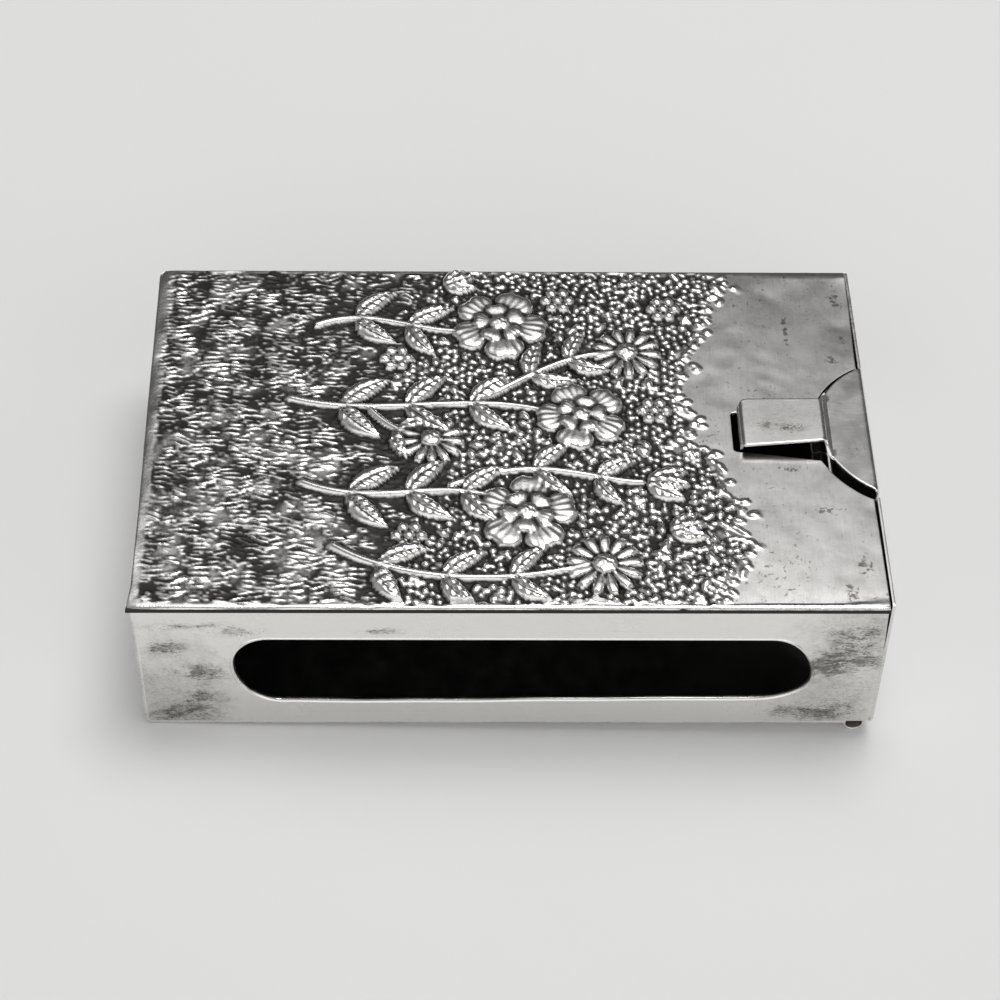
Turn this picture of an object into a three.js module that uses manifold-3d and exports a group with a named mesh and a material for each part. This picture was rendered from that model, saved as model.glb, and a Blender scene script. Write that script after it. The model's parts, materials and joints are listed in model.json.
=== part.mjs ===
// Cigarette packet case of silver sheet: a flat box with a chased top panel, a long window in one
// narrow side, and a hinged end lid whose folded tab springs over a thumb notch.
// Millimetres, +Z up. X runs along the case towards the lid, Y across it.
// The origin is under the middle of the case, level with the lowest point of the hinge.
import * as THREE from "three";
import { ConvexGeometry } from "three/addons/geometries/ConvexGeometry.js";
import { mergeVertices } from "three/addons/utils/BufferGeometryUtils.js";
import Module from "manifold-3d";

const wasm = await Module();
wasm.setup();

// Box
const BODY_LENGTH = 88.25; // of the top panel
const BODY_WIDTH = 57; // of the top panel
const BODY_HEIGHT = 22.35; // base to top panel, over both sheets
const PANEL_THICKNESS = 0.5;
const RIM_DROP = 0.8; // the panel's edge is turned down this far outside the walls
const RIM_THICKNESS = 0.3;
const RIM_CLEARANCE = 0.1; // between the rim and the walls
const EDGE_ROUND = 0.25; // rounded arris of the panel
const WALL_THICKNESS = 0.5;
const WALL_LEAN = 0.22; // the long walls reach this much nearer to the lid at their foot
const END_CORNER = 0.5; // rounded upright edges of the closed end
const BASE_THICKNESS = 0.5; // one sheet makes the base and the closed end
const BASE_BEND = 0.7; // inside radius where the base turns up into the closed end

// Window in the front wall
const WINDOW_LENGTH = 68.5;
const WINDOW_HEIGHT = 11.3;
const WINDOW_FROM_LID_END = 7.9;
const WINDOW_SILL = 4.75; // above the underside of the base

// Hinge along the base's lid end
const TUBE_RADIUS = 1.3;
const TUBE_BORE = 1; // radius
const TUBE_COUNT = 5; // they belong to the case and the lid by turns
const TUBE_SPACE = 0.2; // between tubes, and from the lid's flange to the walls
const HINGE_INSET = 1.45; // axis to the panel's lid edge
const HINGE_DROP = 0.75; // axis below the underside of the base
const PIN_CLEARANCE = 0.09;
const PIN_RECESS = 1.2; // pin end to tube end
const PIN_CHAMFER = 0.25;
const SEAT_GAP = 0.08; // solder line between a tube and the sheet that carries it

// Lid and its folded tab
const LID_THICKNESS = 0.4;
const LID_GAP = 0.35; // lid to the panel's lid edge
const LID_BEND = 0.3; // inside radius of the lid's folds
const LID_CORNER = 0.3;
const LID_NEAR_INSET = 0.6; // the lid stops this far inside the panel's window side
const TAB_RADIUS = 11.7; // round flare, seen from above
const TAB_CENTRE = 5.95; // its centre beyond the panel's lid edge
const TAB_LIFT = 0.15; // underside of the tab over the top panel, at the fold
const FLARE_RISE = 0.3; // from the fold to the foot of the step
const TONGUE_STEP = 1.25; // rise of the step between flare and tongue
const TONGUE_STEP_RUN = 0.7;
const TONGUE_LENGTH = 10.4; // from the step to the turned-down tip
const TONGUE_FALL = 0.6; // the tongue slopes down to its tip by this much
const TONGUE_ROOT_WIDTH = 7;
const TONGUE_TIP_WIDTH = 7.8;
const TONGUE_CORNER = 0.9;
const TIP_CLEARANCE = 0.25; // tip to the panel's face
const FOLD_CUT_WIDTH = 0.5; // saw cuts beside the fold
const FOLD_CUT_DEPTH = 0.9;

// Thumb notch in the top panel, under the tab
const NOTCH_CLEARANCE = 0.85; // notch arc outside the tab's arc
const NOTCH_SHIFT = -0.3; // the notch is cut a little towards the window side
const SLOT_MOUTH_WIDTH = 9.4;
const SLOT_END_WIDTH = 6.4;
const SLOT_END_GAP = 0.7; // slot end beyond the tongue's tip
const SLOT_CORNER = 0.5;

// Chased flowers on the top panel. These are their main forms; the fine chasing is left to the finish.
const FORM_SINK = 0.1; // how far a form is let into the panel
const STEM_WIDTH = 1.2;
const STEM_RISE = 0.5;
const STEM_STEPS = 6;
const LEAF_SHAPE = 0.42; // width to length
const LEAF_RISE = 0.65;
const LEAF_CURL = 0.55; // bow of a leaf's middle line
const LEAF_TURN = 0.72; // a leaf to its stem
const ROSE_RISE = 0.65;
const ROSE_HEART_RISE = 0.95;
const DAISY_RISE = 0.5;
const DAISY_EYE_RISE = 0.9;
const BUD_RISE = 0.75;
const BERRY_RISE = 0.5;
const FLOWER_SIDES = 10;
const STEMS = [
  { line: [[-25, -9], [-15, -14], [-8, -7], [1, -13]], leaf: 7.8, at: [0.2, 0.47, 0.74] },
  { line: [[-27, 5], [-15, 1], [-5, 7], [7, 2]], leaf: 7.8, at: [0.18, 0.42, 0.66] },
  { line: [[-24, 18], [-16, 22], [-9, 14], [-2, 18]], leaf: 7.4, at: [0.2, 0.5] },
  { line: [[-21, -19], [-13, -25], [0, -25], [9, -22]], leaf: 7, at: [0.2, 0.45, 0.7] },
  { line: [[-17, 3], [-14, -1], [-12, -1], [-9, -2]], leaf: 5.4, at: [0.4] },
  { line: [[-3, 5], [4, 10], [8, 13], [14, 13]], leaf: 6.6, at: [0.3, 0.6] },
  { line: [[-7, -9.5], [4, -4], [10, -9], [16, -9]], leaf: 6.6, at: [0.35, 0.7] },
];
const ROSES = [
  { at: [2, -14], radius: 6.3 },
  { at: [9, 2], radius: 5.9 },
  { at: [-1, 18], radius: 6.4 },
];
const DAISIES = [
  { at: [11, -22], radius: 4.8 },
  { at: [-9.5, -2], radius: 4.3 },
  { at: [15, 13], radius: 4.6 },
];
const BUDS = [
  { at: [16.5, -9], turn: -0.1, length: 5.4 },
  { at: [-8, 25], turn: 0.4, length: 4.4 },
  { at: [19, -17], turn: 0.3, length: 4.6 },
];
const BERRIES = [[6.5, 22.5], [18, 3], [-14, 12], [-12, -17.5], [20, 21]];
const BERRY_CLUSTER = 2.2; // radius of a cluster

// Fineness of the round faces, and how far a cutting solid overshoots
const ARC_STEPS = 10;
const TUBE_STEPS = 12; // a full circle gets two sides for each step
const ARRIS_STEPS = 3;
const CUT_MARGIN = 1;
const WELD = 1e-5; // corners nearer than this are one

// Places that follow from the sizes
const baseBottom = TUBE_RADIUS + HINGE_DROP;
const baseTop = baseBottom + BASE_THICKNESS;
const panelTop = baseBottom + BODY_HEIGHT;
const panelBottom = panelTop - PANEL_THICKNESS;
const lidOuter = (BODY_LENGTH + LID_GAP + LID_THICKNESS) / 2;
const lidInner = lidOuter - LID_THICKNESS;
const caseRight = lidInner - LID_GAP;
const caseLeft = caseRight - BODY_LENGTH;
const overhang = RIM_THICKNESS + RIM_CLEARANCE;
const halfWidth = BODY_WIDTH / 2;
const endOuter = caseLeft + overhang;
const endInner = endOuter + BASE_THICKNESS;
const wallOuter = halfWidth - overhang;
const wallInner = wallOuter - WALL_THICKNESS;
const hingeX = caseRight - HINGE_INSET;
const hingeZ = TUBE_RADIUS;
const hingeHalf = wallInner - SEAT_GAP;
const flangeHalf = wallInner - TUBE_SPACE;
const sheetFromAxis = Math.sqrt((TUBE_RADIUS + SEAT_GAP) ** 2 - HINGE_DROP ** 2);
const thumbCentreX = caseRight + TAB_CENTRE;
const foldTop = panelTop + TAB_LIFT + LID_THICKNESS;
const flareTop = foldTop + FLARE_RISE;
const tongueTop = flareTop + TONGUE_STEP;
const tongueRootX = thumbCentreX - Math.sqrt(TAB_RADIUS ** 2 - (TONGUE_ROOT_WIDTH / 2) ** 2);
const tongueTipX = tongueRootX - TONGUE_LENGTH;
const slotEndX = tongueTipX - SLOT_END_GAP;

const metal = (color, roughness) =>
  new THREE.MeshStandardMaterial({ color, metalness: 1, roughness });
const polished = metal(0xcfcdc8, 0.22);
const chased = metal(0xa9a7a2, 0.34);
const wirePin = metal(0x8d8a85, 0.4);

// Solids and geometries

function solidOf(geometry) {
  const bare = geometry.clone();
  bare.deleteAttribute("normal");
  bare.deleteAttribute("uv");
  const merged = mergeVertices(bare, WELD);
  return new wasm.Manifold(
    new wasm.Mesh({
      numProp: 3,
      vertProperties: merged.attributes.position.array,
      triVerts: new Uint32Array(merged.index.array),
    }),
  );
}

function geometryOf(solid) {
  const mesh = solid.getMesh();
  const geometry = new THREE.BufferGeometry();
  geometry.setAttribute("position", new THREE.BufferAttribute(mesh.vertProperties, 3));
  geometry.setIndex(new THREE.BufferAttribute(mesh.triVerts, 1));
  geometry.computeVertexNormals();
  return geometry;
}

// A plan outline carried up from one height to another.
function upward(shape, low, high) {
  const options = { depth: high - low, bevelEnabled: false, curveSegments: ARC_STEPS };
  return new THREE.ExtrudeGeometry(shape, options).translate(0, 0, low);
}

// A plan outline made into a slab with rounded edges.
function softSlab(shape, low, high) {
  const bevel = {
    bevelSize: EDGE_ROUND,
    bevelOffset: -EDGE_ROUND,
    bevelThickness: EDGE_ROUND,
    bevelSegments: ARRIS_STEPS,
  };
  const options = { depth: high - low - 2 * EDGE_ROUND, curveSegments: ARC_STEPS, ...bevel };
  return new THREE.ExtrudeGeometry(shape, options).translate(0, 0, low + EDGE_ROUND);
}

// A side outline, drawn in X and Z, carried across the case from one Y to another.
function across(shape, near, far, steps = ARC_STEPS) {
  const options = { depth: far - near, bevelEnabled: false, curveSegments: steps };
  return new THREE.ExtrudeGeometry(shape, options).rotateX(Math.PI / 2).translate(0, far, 0);
}

// An end outline, drawn in Y and Z, carried along the case from one X to another.
function along(shape, left, right) {
  const options = { depth: right - left, bevelEnabled: false, curveSegments: ARC_STEPS };
  const geometry = new THREE.ExtrudeGeometry(shape, options);
  return geometry.rotateX(Math.PI / 2).rotateZ(Math.PI / 2).translate(left, 0, 0);
}

function piece(name, geometry, material) {
  const mesh = new THREE.Mesh(geometry, material);
  mesh.name = name;
  return mesh;
}

// Outlines

// Runs an outline straight to an arc's start, then round the arc.
function arcTo(path, centre, radius, from, to, clockwise) {
  path.lineTo(centre.x + radius * Math.cos(from), centre.y + radius * Math.sin(from));
  path.absarc(centre.x, centre.y, radius, from, to, clockwise);
}

// Runs an outline towards a corner and rounds it on the way to the next point.
function roundTo(path, from, corner, next, radius) {
  const back = new THREE.Vector2(from.x - corner.x, from.y - corner.y).normalize();
  const on = new THREE.Vector2(next.x - corner.x, next.y - corner.y).normalize();
  const reach = radius / Math.tan(Math.acos(back.dot(on)) / 2);
  path.lineTo(corner.x + back.x * reach, corner.y + back.y * reach);
  path.quadraticCurveTo(corner.x, corner.y, corner.x + on.x * reach, corner.y + on.y * reach);
}

// The plan of the walls grown by a margin, round-cornered at the closed end and square at the lid's,
// with an optional cut in the lid's edge.
function boxPlan(margin, right, cut) {
  const corner = END_CORNER + margin;
  const left = endOuter - margin;
  const half = wallOuter + margin;
  const inset = left + corner;
  const side = half - corner;
  const shape = new THREE.Shape();
  shape.moveTo(inset, -half);
  shape.lineTo(right, -half);
  cut?.(shape);
  shape.lineTo(right, half);
  shape.lineTo(inset, half);
  shape.absarc(inset, side, corner, Math.PI / 2, Math.PI, false);
  shape.lineTo(left, -side);
  shape.absarc(inset, -side, corner, Math.PI, 1.5 * Math.PI, false);
  shape.closePath();
  return shape;
}

// One bend of a strip whose outer face runs from one corner through the next to a third.
function bendAt(before, corner, after, thickness) {
  const here = new THREE.Vector2(corner.x, corner.z);
  const comes = here.clone().sub(new THREE.Vector2(before.x, before.z)).normalize();
  const goes = new THREE.Vector2(after.x, after.z).sub(here).normalize();
  const turn = Math.atan2(comes.cross(goes), comes.dot(goes));
  const left = turn > 0;
  const outer = left ? corner.bend + thickness : corner.bend;
  const inner = left ? corner.bend : corner.bend + thickness;
  const start = here.clone().addScaledVector(comes, -outer * Math.tan(Math.abs(turn) / 2));
  const side = new THREE.Vector2(-comes.y, comes.x).multiplyScalar(left ? 1 : -1);
  const centre = start.clone().addScaledVector(side, outer);
  const from = Math.atan2(start.y - centre.y, start.x - centre.x);
  return { centre, outer, inner, from, to: from + turn, left };
}

// The side outline of a strip bent along the corners of its outer face. The sheet lies to the left.
function bentStrip(corners, thickness) {
  const bends = corners
    .slice(1, -1)
    .map((corner, i) => bendAt(corners[i], corner, corners[i + 2], thickness));
  const leftOf = (a, b) =>
    new THREE.Vector2(a.z - b.z, b.x - a.x).normalize().multiplyScalar(thickness);
  const first = corners[0];
  const last = corners.at(-1);
  const startStep = leftOf(first, corners[1]);
  const endStep = leftOf(corners.at(-2), last);
  const shape = new THREE.Shape();
  shape.moveTo(first.x, first.z);
  for (const b of bends) arcTo(shape, b.centre, b.outer, b.from, b.to, !b.left);
  shape.lineTo(last.x, last.z);
  shape.lineTo(last.x + endStep.x, last.z + endStep.y);
  for (const b of [...bends].reverse()) arcTo(shape, b.centre, b.inner, b.to, b.from, b.left);
  shape.lineTo(first.x + startStep.x, first.z + startStep.y);
  shape.closePath();
  return shape;
}

// Top panel

// The thumb notch: a round bite out of the lid edge with a tapered slot running in from it.
function notchPath(shape) {
  const radius = TAB_RADIUS + NOTCH_CLEARANCE;
  const atEdge = Math.acos(TAB_CENTRE / radius);
  const mouthHalf = SLOT_MOUTH_WIDTH / 2;
  const endHalf = SLOT_END_WIDTH / 2;
  const atSlot = Math.asin(mouthHalf / radius);
  const mouthX = thumbCentreX - radius * Math.cos(atSlot);
  const centre = { x: thumbCentreX, y: NOTCH_SHIFT };
  const nearMouth = { x: mouthX, y: NOTCH_SHIFT - mouthHalf };
  const farMouth = { x: mouthX, y: NOTCH_SHIFT + mouthHalf };
  const nearEnd = { x: slotEndX, y: NOTCH_SHIFT - endHalf };
  const farEnd = { x: slotEndX, y: NOTCH_SHIFT + endHalf };
  arcTo(shape, centre, radius, Math.PI + atEdge, Math.PI + atSlot, true);
  roundTo(shape, nearMouth, nearEnd, farEnd, SLOT_CORNER);
  roundTo(shape, nearEnd, farEnd, farMouth, SLOT_CORNER);
  arcTo(shape, centre, radius, Math.PI - atSlot, Math.PI - atEdge, true);
}

// A raised form over an outline on the panel, its top drawn in towards the middle.
function form(outline, rise, taper) {
  const middle = new THREE.Vector2();
  for (const point of outline) middle.addScaledVector(point, 1 / outline.length);
  const points = outline.flatMap((point) => {
    const top = point.clone().lerp(middle, taper);
    return [
      new THREE.Vector3(point.x, point.y, panelTop - FORM_SINK),
      new THREE.Vector3(top.x, top.y, panelTop + rise),
    ];
  });
  return solidOf(new ConvexGeometry(points));
}

function roundForm([x, y], radius, rise, taper) {
  const outline = Array.from({ length: FLOWER_SIDES }, (_, i) => {
    const turn = (2 * Math.PI * i) / FLOWER_SIDES;
    return new THREE.Vector2(x + radius * Math.cos(turn), y + radius * Math.sin(turn));
  });
  return form(outline, rise, taper);
}

// A leaf from its stalk outwards, bowed to one side.
function leafForm(at, turn, length, width, curl, rise) {
  const half = (t) => 0.5 * width * Math.sin(Math.PI * t ** 0.8) ** 0.85;
  const point = (t, side) => {
    const bow = 4 * curl * t * (1 - t) + side * half(t);
    return new THREE.Vector2(t * length, bow).rotateAround(new THREE.Vector2(), turn).add(at);
  };
  const outline = [point(0.02, 0), point(0.25, -1), point(0.6, -1)];
  outline.push(point(0.98, 0), point(0.6, 1), point(0.25, 1));
  return form(outline, rise, 0.3);
}

// A stem as a chain of short ridges, with a pair of leaves at each of its places.
function stemForms({ line, leaf, at }) {
  const curve = new THREE.CubicBezierCurve(...line.map((point) => new THREE.Vector2(...point)));
  const joints = curve.getPoints(STEM_STEPS);
  const ridges = joints.slice(1).map((end, i) => {
    const start = joints[i];
    const way = end.clone().sub(start).normalize().multiplyScalar(STEM_WIDTH / 2);
    const side = new THREE.Vector2(-way.y, way.x);
    const outline = [start.clone().sub(side), end.clone().sub(side)];
    outline.push(end.clone().add(way), end.clone().add(side), start.clone().add(side));
    return form(outline, STEM_RISE, 0.12);
  });
  const leaves = at.flatMap((t) => {
    const spot = curve.getPoint(t);
    const way = curve.getTangent(t).angle();
    const length = leaf * (1 - 0.2 * t);
    return [1, -1].map((side) =>
      leafForm(spot, way + side * LEAF_TURN, length, length * LEAF_SHAPE, side * LEAF_CURL, LEAF_RISE),
    );
  });
  return [...ridges, ...leaves];
}

function flowerForms() {
  const forms = STEMS.flatMap(stemForms);
  for (const { at, radius } of ROSES) {
    forms.push(roundForm(at, radius * 0.94, ROSE_RISE, 0.12));
    forms.push(roundForm(at, radius * 0.52, ROSE_HEART_RISE, 0.2));
  }
  for (const { at, radius } of DAISIES) {
    forms.push(roundForm(at, radius * 0.92, DAISY_RISE, 0.15));
    forms.push(roundForm(at, radius * 0.32, DAISY_EYE_RISE, 0.2));
  }
  for (const { at, turn, length } of BUDS) {
    forms.push(leafForm(new THREE.Vector2(...at), turn, length, length * 0.8, 0, BUD_RISE));
  }
  for (const at of BERRIES) forms.push(roundForm(at, BERRY_CLUSTER, BERRY_RISE, 0.25));
  return wasm.Manifold.union(forms);
}

// A slab as deep as the rim, hollowed from below so that only the rim hangs outside the walls, with
// the flowers raised on its face.
function topPanel() {
  const rimBottom = panelTop - RIM_DROP;
  const outline = boxPlan(overhang, caseRight, notchPath);
  const hollow = boxPlan(RIM_CLEARANCE, caseRight + CUT_MARGIN);
  const slab = solidOf(softSlab(outline, rimBottom, panelTop));
  const room = solidOf(upward(hollow, rimBottom - CUT_MARGIN, panelBottom));
  const panel = slab.subtract(room).add(flowerForms());
  return piece("top_panel", geometryOf(panel), chased);
}

// Base, closed end and walls

function baseAndEnd() {
  const corners = [
    { x: endOuter, z: panelBottom },
    { x: endOuter, z: baseBottom, bend: BASE_BEND },
    { x: hingeX - sheetFromAxis, z: baseBottom },
  ];
  const strip = solidOf(across(bentStrip(corners, BASE_THICKNESS), -halfWidth, halfWidth));
  const plan = solidOf(upward(boxPlan(0, caseRight), 0, panelTop));
  return piece("base_and_end", geometryOf(strip.intersect(plan)), polished);
}

// Side outline of a long wall, with one corner rounded to sit in the bend of the base.
function wallOutline() {
  const round = BASE_BEND + SEAT_GAP;
  const centre = { x: endInner + round, y: baseTop + round };
  const shape = new THREE.Shape();
  shape.moveTo(caseRight + WALL_LEAN, baseTop);
  shape.lineTo(caseRight, panelBottom);
  shape.lineTo(endInner, panelBottom);
  arcTo(shape, centre, round, Math.PI, 1.5 * Math.PI, false);
  shape.closePath();
  return shape;
}

function windowOutline() {
  const round = WINDOW_HEIGHT / 2;
  const right = caseRight - WINDOW_FROM_LID_END - round;
  const left = right - WINDOW_LENGTH + WINDOW_HEIGHT;
  const middle = baseBottom + WINDOW_SILL + round;
  const path = new THREE.Path();
  path.moveTo(left, middle - round);
  path.lineTo(right, middle - round);
  path.absarc(right, middle, round, -Math.PI / 2, Math.PI / 2, false);
  path.lineTo(left, middle + round);
  path.absarc(left, middle, round, Math.PI / 2, 1.5 * Math.PI, false);
  return path;
}

function frontWall() {
  const shape = wallOutline();
  shape.holes.push(windowOutline());
  return piece("front_wall", across(shape, -wallOuter, -wallInner), polished);
}

function backWall() {
  return piece("back_wall", across(wallOutline(), wallInner, wallOuter), polished);
}

// Hinge

function tubeGeometry(length) {
  const ring = new THREE.Shape();
  ring.absarc(0, 0, TUBE_RADIUS, 0, 2 * Math.PI, false);
  const bore = new THREE.Path();
  bore.absarc(0, 0, TUBE_BORE, 0, 2 * Math.PI, true);
  ring.holes.push(bore);
  return across(ring, -length / 2, length / 2, TUBE_STEPS);
}

// The hinge tubes in turn from front to back, the case's first.
function hingeTubes() {
  const pitch = (2 * hingeHalf + TUBE_SPACE) / TUBE_COUNT;
  const length = pitch - TUBE_SPACE;
  return Array.from({ length: TUBE_COUNT }, (_, i) => {
    const owner = i % 2 === 0 ? "case" : "lid";
    const tube = piece(`${owner}_hinge_tube_${i + 1}`, tubeGeometry(length), polished);
    tube.position.y = -hingeHalf + i * pitch + length / 2;
    return tube;
  });
}

function hingePin() {
  const radius = TUBE_BORE - PIN_CLEARANCE;
  const half = hingeHalf - PIN_RECESS;
  const profile = [
    new THREE.Vector2(0, -half),
    new THREE.Vector2(radius - PIN_CHAMFER, -half),
    new THREE.Vector2(radius, -half + PIN_CHAMFER),
    new THREE.Vector2(radius, half - PIN_CHAMFER),
    new THREE.Vector2(radius - PIN_CHAMFER, half),
    new THREE.Vector2(0, half),
  ];
  return piece("hinge_pin", new THREE.LatheGeometry(profile, 2 * TUBE_STEPS), wirePin);
}

function hinge() {
  const group = new THREE.Group();
  group.position.set(hingeX, 0, hingeZ);
  group.add(...hingeTubes(), hingePin());
  return group;
}

// Lid

// Side outline of the lid's one bent strip, from the hinge flange up the plate and along the tab.
function lidProfile() {
  const corners = [
    { x: hingeX + sheetFromAxis, z: baseBottom },
    { x: lidOuter, z: baseBottom, bend: LID_BEND },
    { x: lidOuter, z: foldTop, bend: LID_BEND },
    { x: tongueRootX + TONGUE_STEP_RUN, z: flareTop, bend: LID_BEND },
    { x: tongueRootX, z: tongueTop, bend: LID_BEND },
    { x: tongueTipX, z: tongueTop - TONGUE_FALL, bend: LID_BEND },
    { x: tongueTipX, z: panelTop + TIP_CLEARANCE },
  ];
  return bentStrip(corners, LID_THICKNESS);
}

// Half the length of the fold, where the tab's round flare meets the lid's outer face.
function foldHalfLength() {
  return Math.sqrt(TAB_RADIUS ** 2 - (thumbCentreX - lidOuter) ** 2);
}

// The tab from above: a shallow round flare with a straight tongue.
function tabPlan() {
  const foldHalf = foldHalfLength();
  const atFold = Math.asin(foldHalf / TAB_RADIUS);
  const atTongue = Math.asin(TONGUE_ROOT_WIDTH / 2 / TAB_RADIUS);
  const centre = { x: thumbCentreX, y: 0 };
  const nearRoot = { x: tongueRootX, y: -TONGUE_ROOT_WIDTH / 2 };
  const farRoot = { x: tongueRootX, y: TONGUE_ROOT_WIDTH / 2 };
  const nearTip = { x: tongueTipX, y: -TONGUE_TIP_WIDTH / 2 };
  const farTip = { x: tongueTipX, y: TONGUE_TIP_WIDTH / 2 };
  const shape = new THREE.Shape();
  shape.moveTo(lidOuter + CUT_MARGIN, foldHalf);
  arcTo(shape, centre, TAB_RADIUS, Math.PI - atFold, Math.PI - atTongue, false);
  roundTo(shape, farRoot, farTip, nearTip, TONGUE_CORNER);
  roundTo(shape, farTip, nearTip, nearRoot, TONGUE_CORNER);
  arcTo(shape, centre, TAB_RADIUS, Math.PI + atTongue, Math.PI + atFold, false);
  shape.lineTo(lidOuter + CUT_MARGIN, -foldHalf);
  shape.closePath();
  return shape;
}

// The plate from the end, with its top corners rounded and a saw cut at each end of the fold.
function plateOutline() {
  const cornerZ = panelTop - LID_CORNER;
  const nearHalf = halfWidth - LID_NEAR_INSET;
  const cutFloor = panelTop - FOLD_CUT_DEPTH;
  const cutInner = foldHalfLength();
  const cutOuter = cutInner + FOLD_CUT_WIDTH;
  const shape = new THREE.Shape();
  shape.moveTo(-nearHalf, 0);
  shape.lineTo(halfWidth, 0);
  shape.lineTo(halfWidth, cornerZ);
  shape.absarc(halfWidth - LID_CORNER, cornerZ, LID_CORNER, 0, Math.PI / 2, false);
  shape.lineTo(cutOuter, panelTop);
  shape.lineTo(cutOuter, cutFloor);
  shape.lineTo(cutInner, cutFloor);
  shape.lineTo(cutInner, panelTop);
  shape.lineTo(-cutInner, panelTop);
  shape.lineTo(-cutInner, cutFloor);
  shape.lineTo(-cutOuter, cutFloor);
  shape.lineTo(-cutOuter, panelTop);
  shape.absarc(LID_CORNER - nearHalf, cornerZ, LID_CORNER, Math.PI / 2, Math.PI, false);
  shape.closePath();
  return shape;
}

// The hinge flange from the end, short enough to pass between the walls.
function flangeOutline() {
  const top = baseBottom + LID_THICKNESS + LID_BEND + CUT_MARGIN;
  const shape = new THREE.Shape();
  shape.moveTo(-flangeHalf, 0);
  shape.lineTo(flangeHalf, 0);
  shape.lineTo(flangeHalf, top);
  shape.lineTo(-flangeHalf, top);
  shape.closePath();
  return shape;
}

// One strip, cut to the tab's plan over the top panel and to the plate and flange below it.
function lid() {
  const strip = solidOf(across(lidProfile(), -halfWidth, halfWidth));
  const tab = solidOf(upward(tabPlan(), panelTop - CUT_MARGIN, tongueTop + CUT_MARGIN));
  const plate = solidOf(along(plateOutline(), lidInner, lidOuter + CUT_MARGIN));
  const flange = solidOf(along(flangeOutline(), hingeX, lidOuter));
  return piece("lid", geometryOf(strip.intersect(tab.add(plate).add(flange))), polished);
}

const cigaretteCase = new THREE.Group();
cigaretteCase.add(topPanel(), baseAndEnd(), frontWall(), backWall(), hinge(), lid());

export default cigaretteCase;
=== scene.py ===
"""Silver packet case: sheet-metal pieces with a chased top, their finishes, and a pale studio stage."""

import json
import math

import bpy
import numpy as np
from bpy.props import FloatProperty, FloatVectorProperty, IntProperty, PointerProperty
from bpy.types import Operator, Panel, PropertyGroup
from mathutils import Matrix, Vector
from mathutils.geometry import delaunay_2d_cdt


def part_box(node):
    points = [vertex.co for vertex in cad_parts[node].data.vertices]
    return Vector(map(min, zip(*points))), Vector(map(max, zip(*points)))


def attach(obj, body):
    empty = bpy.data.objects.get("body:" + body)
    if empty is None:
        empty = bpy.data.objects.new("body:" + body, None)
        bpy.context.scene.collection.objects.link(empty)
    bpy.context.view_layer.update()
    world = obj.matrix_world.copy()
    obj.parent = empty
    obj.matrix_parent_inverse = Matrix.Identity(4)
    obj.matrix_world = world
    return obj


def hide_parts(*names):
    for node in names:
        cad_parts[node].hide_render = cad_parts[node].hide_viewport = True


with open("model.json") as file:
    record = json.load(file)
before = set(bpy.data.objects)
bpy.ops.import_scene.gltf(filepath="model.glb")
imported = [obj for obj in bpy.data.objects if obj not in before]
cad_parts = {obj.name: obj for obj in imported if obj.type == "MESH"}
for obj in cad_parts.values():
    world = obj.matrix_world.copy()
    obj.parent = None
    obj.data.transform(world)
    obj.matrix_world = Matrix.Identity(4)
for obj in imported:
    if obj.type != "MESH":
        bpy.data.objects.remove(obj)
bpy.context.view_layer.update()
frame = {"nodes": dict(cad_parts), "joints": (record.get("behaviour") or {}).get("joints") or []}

bl_info = {
    "name": "Silver packet case",
    "version": (1, 0, 0),
    "blender": (4, 5, 0),
    "location": "3D View > Sidebar > Case",
    "description": "Dresses the packed case with chased and polished silver sheet",
    "category": "Object",
}

MM = 0.001

# Outlines and folds: how finely they are drawn, and how far a corner may run out when its outline moves
SAME_POINT = 1e-6
SHARP_TURN = 0.02
LONGEST_MITRE = 1.67
CORNER_STEPS = 6
BEND_STEPS = 16
CLOSEST_ROWS = 0.04
NO_POINTS = np.zeros((0, 2))

# Height in the relief where no form stands, and the reach of a mark of tarnish and painted shade through
# the sheet
NOTHING = -9
THROUGH = 3

# Cut edges: how near a point on an edge is to it, and the rounds of soldered, free and inner edges
ON_EDGE = 0.01
SOLDERED_EDGE = 0.012
FREE_EDGE = 0.03
INNER_EDGE = 0.05

# The panel's edges: round of its far corner, its far border, and its lip with the crease inside it
FAR_CORNER = 1.0
FAR_BORDER = 0.6
FAR_DROP = 0.1
LIP_WIDTH = 0.72
LIP_DROP = 0.06
CREASE_HALF = 0.08
CREASE_ROWS = (-0.06, -0.02, 0.02, 0.06, 0.12, 0.18, 0.33)

# Where along the panel the crease starts, the mesh of the grass ends and that of the plain field starts
CREASE_START = -28
GRASS_END = -13
FIELD_START = 29.5

# The chasing: depth of the ground between strokes, spacings of tufts and beads, and numbers of marks
GROUND_DEPTH = 0.06
TUFT_ROWS = 1.75
TUFT_SPACING = 2.7
BEAD_ROWS = 0.9
BEAD_SPACING = 0.96
TRODDEN_DOTS = 3000
LARGE_LEAVES = 130
HAMMER_MARKS = 70

# Play of the pin, of a wall in the base's bend and of the lid's flange, and where the lid's plate ends
PIN_PLAY = 0.09
BEND_PLAY = 0.08
FLANGE_PLAY = 0.2
PLATE_END = 22.0


def box_mm(node):
    """Lowest and highest corner of a node, in millimetres."""
    low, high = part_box(node)
    return np.array(low) / MM, np.array(high) / MM


PANEL_LOW, PANEL_HIGH = box_mm("top_panel")
BASE_LOW, BASE_HIGH = box_mm("base_and_end")
FRONT_LOW, FRONT_HIGH = box_mm("front_wall")
LID_LOW, LID_HIGH = box_mm("lid")
HINGE = np.array(frame["joints"][0]["pos_m"]) / MM
TUBES = sorted(n for n in frame["nodes"] if "hinge_tube" in n)
# The panel's face lies one sheet above the walls
PANEL_TOP = FRONT_HIGH[2] + FRONT_HIGH[1] - FRONT_LOW[1]


# Sizes and colours that a user would change


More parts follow.
